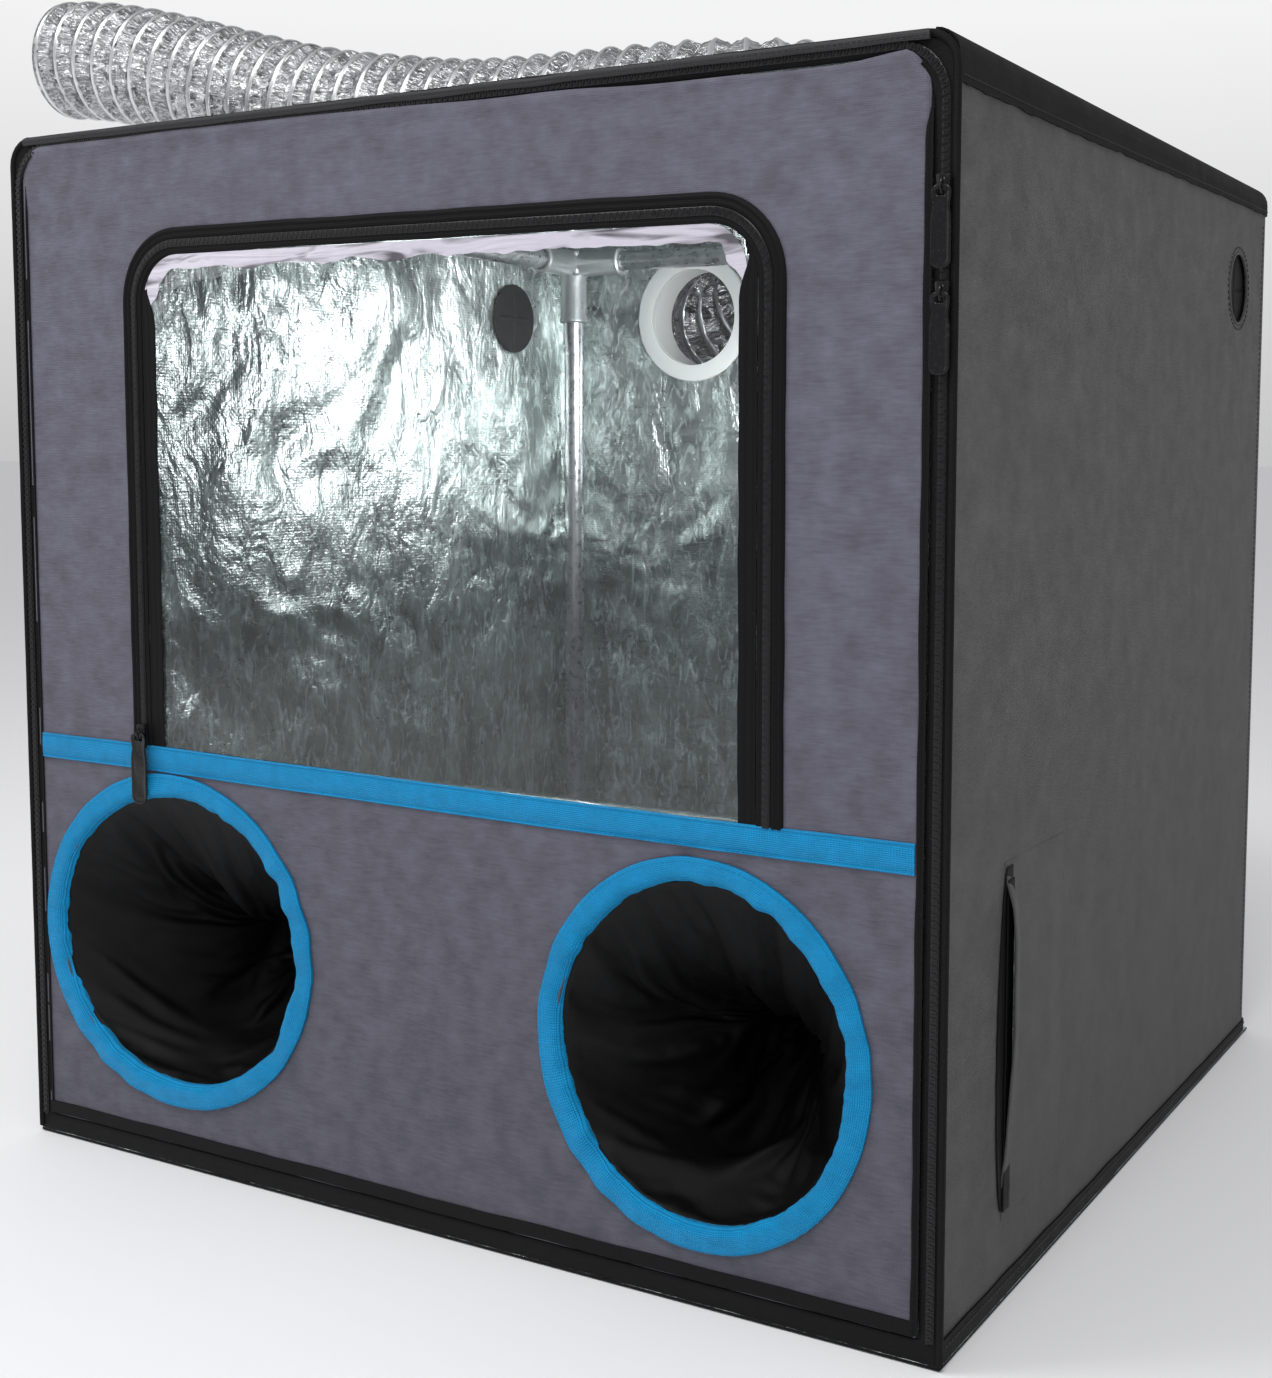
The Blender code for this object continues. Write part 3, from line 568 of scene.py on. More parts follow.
def crinkle_group():
    """Crumpled foil: flat facets about a Size across, each leaning its own way."""

    def build(nodes, source, target):
        scale = nodes.sum("DIVIDE", 1.0, source["Size"])
        values = {"Vector": source["Place"], "Scale": scale, "Randomness": 1.0}
        cells = nodes.add("ShaderNodeTexVoronoi", values).outputs
        away = nodes.vector("SUBTRACT", source["Place"], cells["Position"])[0]
        lean = nodes.vector("SUBTRACT", cells["Color"], (0.5, 0.5, 0.5))[0]
        rise = nodes.vector("DOT_PRODUCT", away, lean)["Value"]
        nodes.put(target["Height"], nodes.sum("DIVIDE", rise, source["Size"]))

    inputs = [("Place", "NodeSocketVector", None), ("Size", "NodeSocketFloat", 0.01)]
    return node_group("crinkle", inputs, "Height", build)


def ribs_group():
    """Webbing: ribs along the tape with slanted picks across them."""

    def build(nodes, source, target):
        apart = nodes.apart(source["Place"])
        along = nodes.sum("DIVIDE", apart[0], source["Pick"])
        across = nodes.sum("DIVIDE", apart[1], source["Rib"])
        bend = nodes.sum("ABSOLUTE", nodes.sum("SUBTRACT", nodes.sum("FRACT", across), 0.5))
        picks = nodes.sum("SINE", nodes.sum("MULTIPLY", nodes.sum("ADD", along, bend), TAU))
        rib = nodes.sum("SINE", nodes.sum("MULTIPLY", nodes.sum("FRACT", across), math.pi))
        height = nodes.sum("ADD", nodes.sum("MULTIPLY", picks, 0.3), rib)
        nodes.put(target["Height"], height)

    inputs = [
        ("Place", "NodeSocketVector", None),
        ("Pick", "NodeSocketFloat", 0.0016),
        ("Rib", "NodeSocketFloat", 0.0011),
    ]
    return node_group("ribs", inputs, "Height", build)


def shade(colour, factor):
    return (*(min(channel * factor, 1.0) for channel in colour), 1.0)


def start(name, roughness, **settings):
    """A new finish, its nodes and its shader, with the settings on the shader's own sockets."""
    finish = bpy.data.materials.new(name)
    finish.use_nodes = True
    shader = finish.node_tree.nodes["Principled BSDF"]
    shader.inputs["Roughness"].default_value = roughness
    for label, value in settings.items():
        shader.inputs[label.replace("_", " ")].default_value = value
    return finish, Nodes(finish.node_tree), shader.inputs


def cloth_finish(name, colour, thread, grain, spread, roughness, weave=0.00025, sheen=0.06, wrinkle=0.0012,
                 specular=0.35, foot=1.0):
    """Woven cloth: mottled dye, a plain weave and soft creases, with painted shade in the weave's hollows
    and painted shade that darkens it towards its foot.
    """
    finish, nodes, shader = start(name, roughness, Sheen_Weight=sheen, Sheen_Roughness=0.5,
                                  Specular_IOR_Level=specular)
    place = nodes.place()
    threads = nodes.group(weave_group(), Place=nodes.cloth_map(), Thread=thread)
    share = nodes.group(mottle_group(), Place=place, Grain=grain)
    body = nodes.blend(share, shade(colour, 1 - spread), shade(colour, 1 + spread))
    # Painted shade: the cloth darkens towards its foot, standing in for less light low down.
    painted_foot_shade = nodes.span(nodes.apart(place)[2], 0.0, 0.42, foot, 1.0)
    # Painted shade in the weave's hollows, times the painted shade towards the foot.
    painted_weave_and_foot_shade = nodes.sum("MULTIPLY", nodes.span(threads, 0.0, 1.0, 0.80, 1.06), painted_foot_shade)
    nodes.put(shader["Base Color"], nodes.darken(body, painted_weave_and_foot_shade))
    folded = nodes.bump(nodes.clouds(place, 26.0, 4.0, 0.6), wrinkle, 0.8)
    nodes.put(shader["Normal"], nodes.bump(threads, weave, 0.7, folded))
    nodes.put(shader["Roughness"], nodes.span(share, 0.0, 1.0, roughness - 0.06, roughness + 0.06))
    return finish


def front_finish(name):
    look = bpy.context.scene.tent_cloth
    return cloth_finish(name, look.front, look.thread, 0.016, 0.28, 0.62, foot=0.72)


def side_finish(name):
    look = bpy.context.scene.tent_cloth
    return cloth_finish(name, look.side, look.thread, 0.018, 0.36, 0.66, foot=0.66)


def black_finish(name):
    look = bpy.context.scene.tent_cloth
    return cloth_finish(name, look.black, look.thread * 0.8, 0.012, 0.25, 0.6, 0.0003, 0.0, 0.0006, 0.17)


def charcoal_finish(name):
    look = bpy.context.scene.tent_cloth
    return cloth_finish(name, look.charcoal, look.thread, 0.02, 0.2, 0.55, sheen=0.02, specular=0.4)


def sleeve_finish(name):
    look = bpy.context.scene.tent_cloth
    return cloth_finish(name, look.sleeve, 0.0009, 0.02, 0.3, 0.50, 0.0002, 0.0, 0.0012, 0.24)


def lining_finish(name):
    """Aluminised cloth: a crumpled foil skin over a fine weave, with painted shade in its folds and painted
    glints in fine flecks.
    """
    look = bpy.context.scene.tent_cloth
    finish, nodes, shader = start(name, 0.3, Metallic=0.92)
    place = nodes.place()
    share = nodes.group(mottle_group(), Place=place, Grain=0.05)
    base = nodes.blend(share, shade(look.lining, 0.72), shade(look.lining, 1.05))
    drape = nodes.clouds(place, 7.0, 2.0, 0.8)
    folds = nodes.clouds(nodes.stretch(place, (1.0, 1.0, 0.55)), 34.0, 3.0, 1.0)
    grain = nodes.clouds(place, 210.0, 2.0, 0.6)
    # Painted glints: fine bright flecks in the base colour stand in for the sparkle of light off the
    # crumpled foil.
    painted_glints = nodes.clouds(nodes.stretch(place, (1.0, 1.0, 0.4)), 120.0, 5.0, 1.4)
    # Painted shade: the base colour darkens in the hollows of the folds.
    wear_and_shade = nodes.darken(base, nodes.span(folds, 0.36, 0.56, 0.55, 1.0))
    glint_share = nodes.span(painted_glints, 0.50, 0.66)
    nodes.put(shader["Base Color"], nodes.blend(glint_share, wear_and_shade, shade(look.lining, 1.5)))
    threads = nodes.group(weave_group(), Place=nodes.cloth_map(), Thread=0.0022)
    large = nodes.bump(folds, 0.0055, 0.9, nodes.bump(drape, 0.036, 0.9))
    fine = nodes.bump(grain, 0.0009, 0.9, large)
    nodes.put(shader["Normal"], nodes.bump(threads, 0.0003, 0.35, fine))
    nodes.put(shader["Roughness"], nodes.span(share, 0.0, 1.0, 0.24, 0.38))
    return finish


def webbing_finish(name):
    look = bpy.context.scene.tent_webbing
    finish, nodes, shader = start(name, 0.5, Sheen_Weight=0.04, Sheen_Roughness=0.4, Specular_IOR_Level=0.2)
    ribs = nodes.group(ribs_group(), Place=nodes.cloth_map())
    share = nodes.group(mottle_group(), Place=nodes.place(), Grain=0.012)
    body = nodes.blend(share, shade(look.blue, 0.85), shade(look.blue, 1.2))
    # Painted shade: the webbing is darker in the grooves between its ribs.
    nodes.put(shader["Base Color"], nodes.blend(nodes.span(ribs, 0.0, 0.9), shade(look.blue, 0.80), body))
    tucks = nodes.clouds(nodes.place(), 90.0, 3.0)
    nodes.put(shader["Normal"], nodes.bump(ribs, 0.0005, 0.9, nodes.bump(tucks, 0.0016, 0.6)))
    return finish


def tape_finish(name):
    finish, nodes, shader = start(name, 0.55, Specular_IOR_Level=0.13)
    look = bpy.context.scene.tent_cloth
    ribs = nodes.group(ribs_group(), Place=nodes.cloth_map(), Pick=0.0011, Rib=0.0013)
    # Painted light and shade: the tape is lighter on its ribs and darker in the grooves between them.
    body = nodes.blend(nodes.span(ribs, 0.0, 1.2), shade(look.black, 0.6), shade(look.black, 1.4))
    nodes.put(shader["Base Color"], body)
    nodes.put(shader["Normal"], nodes.bump(ribs, 0.0002, 0.7))
    return finish


def enamel_finish(name):
    """Black enamel, rubbed thin in places."""
    look = bpy.context.scene.tent_zips
    finish, nodes, shader = start(name, 0.25, Coat_Weight=0.08, Coat_Roughness=0.1, Specular_IOR_Level=0.28)
    place = nodes.place()
    rub = nodes.clouds(place, 420.0, 3.0)
    wear_and_shade = nodes.span(rub, 0.62, 0.78)
    nodes.put(shader["Base Color"], nodes.blend(wear_and_shade, shade(look.enamel, 1.0), (0.035, 0.035, 0.038, 1.0)))
    nodes.put(shader["Roughness"], nodes.span(rub, 0.3, 0.8, 0.18, 0.42))
    nodes.put(shader["Normal"], nodes.bump(rub, 0.0001, 0.3))
    return finish


def nylon_finish(name):
    look = bpy.context.scene.tent_zips
    finish, nodes, shader = start(name, 0.38, Specular_IOR_Level=0.28)
    rub = nodes.clouds(nodes.place(), 300.0, 2.0)
    nodes.put(shader["Base Color"], nodes.blend(rub, shade(look.nylon, 0.7), shade(look.nylon, 1.6)))
    nodes.put(shader["Roughness"], nodes.span(rub, 0.3, 0.7, 0.25, 0.45))
    return finish


def film_finish(name):
    """Clear film with slow waves in it."""
    look = bpy.context.scene.tent_window
    finish, nodes, shader = start(name, 0.0, Transmission_Weight=1.0, IOR=1.40)
    shader["Base Color"].default_value = shade(look.film, 1.0)
    nodes.put(shader["Normal"], nodes.bump(nodes.clouds(nodes.place(), 9.0, 1.5, 0.8), 0.0015, 0.12))
    return finish


def glare_finish(name):
    """The film's creased edge, with painted glare: milky white streaks and dark breaks that stand in for
    light and dark reflected off the creases.
    """
    look = bpy.context.scene.tent_window
    finish, nodes, shader = start(name, 0.22, Coat_Weight=0.5, Coat_Roughness=0.08)
    wisps = nodes.clouds(nodes.stretch(nodes.place(), (0.45, 1.0, 3.4)), 40.0, 2.5, 0.7)
    # Painted glare: milky white wisps with dark breaks between them.
    glare_share = nodes.span(wisps, 0.34, 0.50)
    nodes.put(shader["Base Color"], nodes.blend(glare_share, shade(look.glare, 0.16), shade(look.glare, 1.0)))
    nodes.put(shader["Normal"], nodes.bump(wisps, 0.002, 0.8))
    return finish


def steel_finish(name):
    """Drawn steel tube: fine marks along it and a little uneven plating."""
    look = bpy.context.scene.tent_frame
    finish, nodes, shader = start(name, 0.3, Metallic=1.0)
    marks = nodes.clouds(nodes.place(), 160.0, 5.0)
    nodes.put(shader["Base Color"], nodes.blend(marks, shade(look.steel, 0.75), shade(look.steel, 1.15)))
    nodes.put(shader["Roughness"], nodes.span(marks, 0.3, 0.7, 0.22, 0.40))
    nodes.put(shader["Normal"], nodes.bump(marks, 0.0001, 0.3))
    return finish


def cast_finish(name):
    look = bpy.context.scene.tent_frame
    finish, nodes, shader = start(name, 0.42, Metallic=0.9)
    pits = nodes.clouds(nodes.place(), 380.0, 4.0)
    nodes.put(shader["Base Color"], nodes.blend(pits, shade(look.cast, 0.7), shade(look.cast, 1.2)))
    nodes.put(shader["Roughness"], nodes.span(pits, 0.3, 0.7, 0.36, 0.58))
    nodes.put(shader["Normal"], nodes.bump(pits, 0.0004, 0.5))
    return finish


def plastic_finish(name):
    look = bpy.context.scene.tent_frame
    finish, nodes, shader = start(name, 0.4, Subsurface_Weight=0.05)
    grain = nodes.clouds(nodes.place(), 700.0, 2.0)
    body = nodes.blend(grain, shade(look.plastic, 0.93), shade(look.plastic, 1.04))
    nodes.put(shader["Base Color"], body)
    nodes.put(shader["Normal"], nodes.bump(grain, 0.0001, 0.4))
    return finish


def foil_finish(name):
    """Duct foil: bright aluminium, crumpled in facets, with painted shade in the valleys between the turns
    of wire.
    """
    look = bpy.context.scene.tent_duct
    finish, nodes, shader = start(name, 0.24, Metallic=1.0)
    around = nodes.cloth_map()
    place = nodes.place()
    turns = nodes.sum("DIVIDE", nodes.apart(around)[0], look.pitch)
    off = nodes.sum("SUBTRACT", nodes.sum("FRACT", nodes.sum("ADD", turns, 0.5)), 0.5)
    between = nodes.span(nodes.sum("ABSOLUTE", off), 0.055, 0.11)
    facets = nodes.group(crinkle_group(), Place=place, Size=0.0062)
    fine = nodes.group(crinkle_group(), Place=place, Size=0.0032)
    streaks = nodes.clouds(nodes.stretch(around, (0.8, 2.4, 1.0)), 110.0, 4.0, 1.2)
    # Painted shade: streaky dark patches in the valleys between the turns of wire.
    valley_shade = nodes.sum("MULTIPLY", nodes.span(streaks, 0.40, 0.58), between)
    # Painted shade: the foil is a little darker in the valleys than on the wire.
    body = nodes.blend(between, shade(look.foil, 1.0), shade(look.foil, 0.88))
    nodes.put(shader["Base Color"], nodes.blend(valley_shade, body, shade(look.foil, 0.50)))
    nodes.put(shader["Roughness"], nodes.span(between, 0.0, 1.0, 0.34, 0.22))
    first = nodes.bump(nodes.sum("MULTIPLY", facets, between), 0.0062, 1.0)
    second = nodes.bump(nodes.sum("MULTIPLY", streaks, between), 0.0036, 0.9, first)
    nodes.put(shader["Normal"], nodes.bump(nodes.sum("MULTIPLY", fine, between), 0.0012, 0.6, second))
    return finish


FINISHES = {
    "front cloth": front_finish, "wall cloth": side_finish, "black cloth": black_finish,
    "charcoal cloth": charcoal_finish, "sleeve cloth": sleeve_finish, "silver lining": lining_finish,
    "blue webbing": webbing_finish, "zip tape": tape_finish, "zip enamel": enamel_finish,
    "nylon coil": nylon_finish, "clear film": film_finish, "clouded film": glare_finish,
    "pole steel": steel_finish, "corner metal": cast_finish, "white plastic": plastic_finish,
    "duct foil": foil_finish,
}


def finish(name):
    """A finish by name, made the first time it is asked for."""
    return bpy.data.materials.get(name) or FINISHES[name](name)


# The front's relief, shared by all that lies on the door

ARMS = {"left": (Vector((-0.2015, 0.1500)), (0.1170, 0.1098)),
        "right": (Vector((0.1895, 0.1410)), (0.1042, 0.1092))}
FRAME_SIDE = FRAME_LOW.x
FRAME_SPAN = FRAME_HIGH.x - FRAME_LOW.x
FRAME_TOP = 0.6052
FRAME_SLOPE = 0.0050
frame_shape = round_box((FRAME_LOW.x, FRAME_LOW.z), (FRAME_HIGH.x, FRAME_TOP), 0.046)


def frame_drop(x, z):
    """How much the window's top hangs lower towards its right end."""
    return FRAME_SLOPE * (x - FRAME_SIDE) / FRAME_SPAN * smooth(z, 0.45, 0.58)


def band_top(x):
    """The blue band's upper edge, which falls to the right."""
    look = bpy.context.scene.tent_webbing
    low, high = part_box("blue_band")
    share = (x - low.x) / (high.x - low.x)
    return BAND_TOP - look.slope * smooth(share, -0.1, 0.9) + 0.0004 * ripple(x, 0, 0.09, 5)


def door_top(x):
    """The door cloth's upper edge, where the cover pulls it down a little."""
    fall = 0.0055 * smooth(x, -0.12, 0.26) - 0.0032 * smooth(x, 0.27, 0.315)
    return DOOR_EDGE - fall + 0.0012 * ripple(x, 0, 0.07, 4)


def front_lift(x, z):
    """How far the door's cloth stands out of true: slow swells, and puckers round the arm openings."""
    swell = bpy.context.scene.tent_cloth.swell
    edge = min(x - DOOR_LOW.x, DOOR_HIGH.x - x, DOOR_HIGH.z - z, z - DOOR_LOW.z + 0.02)
    calm = smooth(edge, 0.006, 0.045) * smooth(frame_shape(x, z), 0.004, 0.03)
    wave = ripple(x, z, 0.13, 3.1) + 0.5 * ripple(x, z, 0.06, 8.2) + 0.12 * ripple(x, z, 0.022, 2.7)
    pucker = 0.0
    for centre, half in ARMS.values():
        away = (Vector((x, z)) - centre).length - (half[0] + half[1]) / 2
        angle = math.atan2(z - centre.y, x - centre.x)
        fold = math.sin(angle * 19 + 2 * math.sin(angle * 3)) * (0.6 + 0.4 * math.sin(angle * 5))
        pucker += 0.0010 * fold * math.exp(-max(away, 0.0) / 0.018) * smooth(away, -0.03, -0.005)
    return calm * (swell * wave + pucker)


def door_skin(x, z):
    """Height of the door's cloth over the face, riding up over the zip at the top."""
    return front_lift(x, z) + 0.0017 * smooth(z, DOOR_HIGH.z - 0.004, DOOR_HIGH.z + 0.001)


def shoulder(inset):
    """How far the cover has turned in, this far from a rounded edge."""
    turn = max(SHOULDER - max(inset, 0.0), 0.0)
    return SHOULDER - math.sqrt(SHOULDER * SHOULDER - turn * turn)


def wall_lift(u, v, low, high, seed, swell):
    """How far a wall's cloth stands out of true, flat along its edges."""
    edge = min(u - low[0], high[0] - u, v - low[1], high[1] - v)
    wave = ripple(u, v, 0.15, seed) + 0.5 * ripple(u, v, 0.065, seed + 5)
    wave += 0.15 * ripple(u, v, 0.02, seed + 9)
    return swell * smooth(edge, 0.022, 0.07) * wave


class TENT_OT_door(bpy.types.Operator):
    """Door cloth, lined with silver, with its hem"""

    bl_idname = "tent.door"
    bl_label = "Door cloth"

    def execute(self, context):
        look = context.scene.tent_cloth
        low, high = (DOOR_LOW.x - 0.0022, DOOR_LOW.z + 0.0006), (DOOR_HIGH.x - 0.0018, DOOR_HIGH.z + 0.0046)
        body = round_box(low, high, DOOR_CORNER)

        def outline(x, z):
            return max(body(x, z), z - door_top(x))

        inner = round_box((FRAME_LOW.x + 0.012, WINDOW_FOOT - 0.001),
                          (FRAME_HIGH.x - 0.012, FRAME_TOP - 0.012), 0.036)
        holes = [inner] + [oval(c, (h[0] - ARM_HEM, h[1] - ARM_HEM)) for c, h in ARMS.values()]
        bm = sheet("front", low, high, 0.0042, lambda x, z: -FRONT + door_skin(x, z), outline, holes)
        cloth = make("door_cloth", bm, "door", ["front cloth", "silver lining"],
                     ["door_panel"])
        thicken(cloth, look.thickness, lined=True)
        span = (high[0] - low[0], high[1] - low[1])
        hem = [(Vector((x, z)), Vector((0, 1))) for x, z in
               ((low[0] + 0.001 + (span[0] - 0.002) * k / 90, 0.0150) for k in range(91))]
        strip = front_strip(hem, flat_section(0.0082, 0.0009), out=0.0002, relief=front_lift,
                            wander=0.0006, seed=6)
        make("door_hem", strip, "door", ["black cloth"])
        return {"FINISHED"}


class TENT_OT_surround(bpy.types.Operator):
    """Black surround of the door, with the piping along its corners"""

    bl_idname = "tent.surround"
    bl_label = "Door surround"

    def execute(self, context):
        low, high = (LEFT + 0.0003, LOW), (RIGHT - 0.0003, HIGH)
        door = round_box((DOOR_LOW.x, DOOR_LOW.z), (DOOR_HIGH.x, DOOR_HIGH.z), DOOR_CORNER)
        outer = round_box(low, high, SHOULDER)
        bm = sheet("front", low, high, 0.004, lambda x, z: -FRONT + 0.0002 * ripple(x, z, 0.03, 4), outer,
                   [door])
        ring = make("surround_cloth", bm, "root", ["black cloth", "silver lining"],
                    ["front_surround"])
        thicken(ring, 0.0016, lined=True)
        path = round_path((LEFT + 0.0005, 0.0035), (RIGHT - 0.0005, TOP - 0.0022), 0.016, 0.005)
        cord = [(0.0021 * math.cos(k * TAU / 10), 0.0021 * math.sin(k * TAU / 10)) for k in range(10)]

        def place(station, side):
            point, inward = path[station]
            across, proud = cord[side]
            swell = 1 + 0.05 * ripple(point.x, point.y, 0.012, 2)
            at = point + inward * (across * swell)
            return Vector((at.x, FRONT + 0.0004 - proud * swell, at.y))

        bm = loft(len(path), 10, place, span=(path_length(path), 0.0), marks=section_marks(cord))
        make("corner_piping", bm, "root", ["black cloth"])
        start = LEFT + SHOULDER + 0.002
        flap = [(Vector((start * (1 - k / 60), TOP - 0.0012)), Vector((0, -1)))
                for k in range(121)]
        fold = front_strip(flap, flat_section(0.0046, 0.0012, crown=0.0005), out=0.0016, wander=0.0008,
                           seed=12)
        make("cover_fold", fold, "root", ["charcoal cloth"])
        bm = bmesh.new()
        points = [Vector((x.x, FRONT - 0.0034, x.y - 0.0024)) for x, _ in flap]
        add_stitches(bm, points)
        make("cover_stitches", bm, "root", ["charcoal cloth"])
        return {"FINISHED"}


class TENT_OT_door_zip(bpy.types.Operator):
    """Door zip: tape on the door, coil with its teeth, and two sliders with their pulls"""

    bl_idname = "tent.door_zip"
    bl_label = "Door zip"

    def execute(self, context):
        zips = context.scene.tent_zips
        section = flat_section(1.0, 0.0007)
        for name, x, inward, wide in (("left", DOOR_LOW.x, 1, 0.0015),
                                      ("right", DOOR_HIGH.x - 0.0001, -1, 0.0042)):
            top = DOOR_HIGH.z - DOOR_CORNER + 0.002
            rise = top - DOOR_LOW.z
            levels = [DOOR_LOW.z + 0.002 + (rise - 0.002) * k / 120 for k in range(121)]

            def place(station, side, x=x, inward=inward, wide=wide, levels=levels, top=top):
                across, proud = section[side]
                z = levels[station]
                taper = 0.15 + 0.85 * smooth(top - z, 0.0, 0.02)
                reach = wide * taper * (1 + 0.2 * ripple(x, z, 0.04, 7))
                return Vector((x + inward * across * reach, FRONT - 0.0003 - proud * taper, z))

            bm = loft(121, len(section), place, span=(rise, 0.0), marks=[0.0006 * k for k in range(9)])
            nodes = ["door_zip_tape"] if name == "right" else []
            make(f"door_zip_tape_{name}", bm, "door", ["zip tape"], nodes)
        outer = -COIL_LOW.x
        wide = 0.0048
        centre = round_path((-outer + wide / 2, DOOR_LOW.z), (outer - wide / 2, COIL_HIGH.z - wide / 2),
                            DOOR_CORNER + 0.005, 0.006)
        base = flat_section(wide, 0.0006, crown=0.0002)
        base = [(a - wide / 2, b) for a, b in base]
        bm = front_strip(centre, base, out=0.0003)
        add_teeth(bm, centre, zips.pitch, wide * 0.86, 0.0006, 0.0009)
        make("door_coil", bm, "root", ["nylon coil"], ["door_zip_coil"])
        for end in ("upper", "lower"):
            slider("door_slider_" + end, end + "_slider_body", "door_slider_" + end)
            zip_pull("door_pull_" + end, "door_pull_" + end, end + "_pull_body", 0.0)
        return {"FINISHED"}


def slider(name, body, node):
    """A slider: a waisted body on the coil, a raised crown and a wire bail for the pull."""
    zips = bpy.context.scene.tent_zips
    low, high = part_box(node)
    x = (low.x + high.x) / 2
    wide, tall = high.x - low.x, high.z - low.z
    bm = bmesh.new()
    back = high.y
    deep = back - low.y
    middle = (low.z + high.z) / 2
    plate = bmesh.ops.create_cube(bm, size=1.0)["verts"]
    bmesh.ops.scale(bm, vec=(wide, deep * 0.36, tall), verts=plate)
    for v in plate:
        v.co.x *= 1.0 if v.co.z > 0 else 0.72
    bmesh.ops.bevel(bm, geom=bm.edges[:], offset=0.0007, affect="EDGES", segments=2, profile=0.5,
                    material=-1)
    bmesh.ops.translate(bm, vec=(x, back - deep * 0.18, middle), verts=bm.verts[:])
    crown = bmesh.ops.create_uvsphere(bm, u_segments=14, v_segments=8, radius=0.5)["verts"]
    bmesh.ops.scale(bm, vec=(wide * 0.62, deep * 0.34, tall * 0.62), verts=crown)
    bmesh.ops.translate(bm, vec=(x, back - deep * 0.38, middle + tall * 0.08), verts=crown)
    wire = zips.wire / 2
    legs = 12

    def hoop(station, side):
        turn = math.pi * station / legs
        reach = deep * 0.34 + (deep * 0.64 - wire) * math.sin(turn)
        at = Vector((x, back - reach, middle - tall * 0.36 * math.cos(turn)))
        spoke = TAU * side / 8
        outward = Vector((0, -math.sin(turn), -math.cos(turn)))
        return at + wire * (math.cos(spoke) * outward + math.sin(spoke) * Vector((1, 0, 0)))

    bail = loft(legs + 1, 8, hoop)
    mesh = bpy.data.meshes.new("bail")
    bail.to_mesh(mesh)
    bail.free()
    bm.from_mesh(mesh)
    bpy.data.meshes.remove(mesh)
    make(name + "_body", bm, body, ["zip enamel"], [node])


def zip_pull(name, node, body, bend):
    """A flat pull with a round-ended plate, a slot at its top, a raised rim and a waist."""
    low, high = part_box(node)
    centre = (low.x + high.x) / 2
    half = (high.x - low.x) / 2
    shape = round_box((low.x, low.z), (high.x, high.z), half * 0.7, half * 0.8)
    slot_low, slot_high = high.z - 0.0052, high.z - 0.0016
    hole = round_box((centre - half * 0.52, slot_low), (centre + half * 0.52, slot_high), 0.0013, 0.0013)
    waist = high.z - 0.010

    def outline(x, z):
        pinch = 0.0011 * math.exp(-((z - waist) / 0.004) ** 2)
        return shape(x, z) + pinch

    thick = high.y - low.y

    def out(x, z):
        rim = 0.00035 * smooth(shape(x, z), -0.0022, -0.0008)
        dish = 0.0003 * math.cos((z - low.z) / 0.004) * smooth(-shape(x, z), 0.002, 0.004)
        return -low.y - 0.0004 + rim + bend * dish

    bm = sheet("front", (low.x, low.z), (high.x, high.z), 0.0006, out, outline, [hole])
    piece = make(name + "_plate", bm, body, ["zip enamel"], [node])
    thicken(piece, thick - 0.0005)


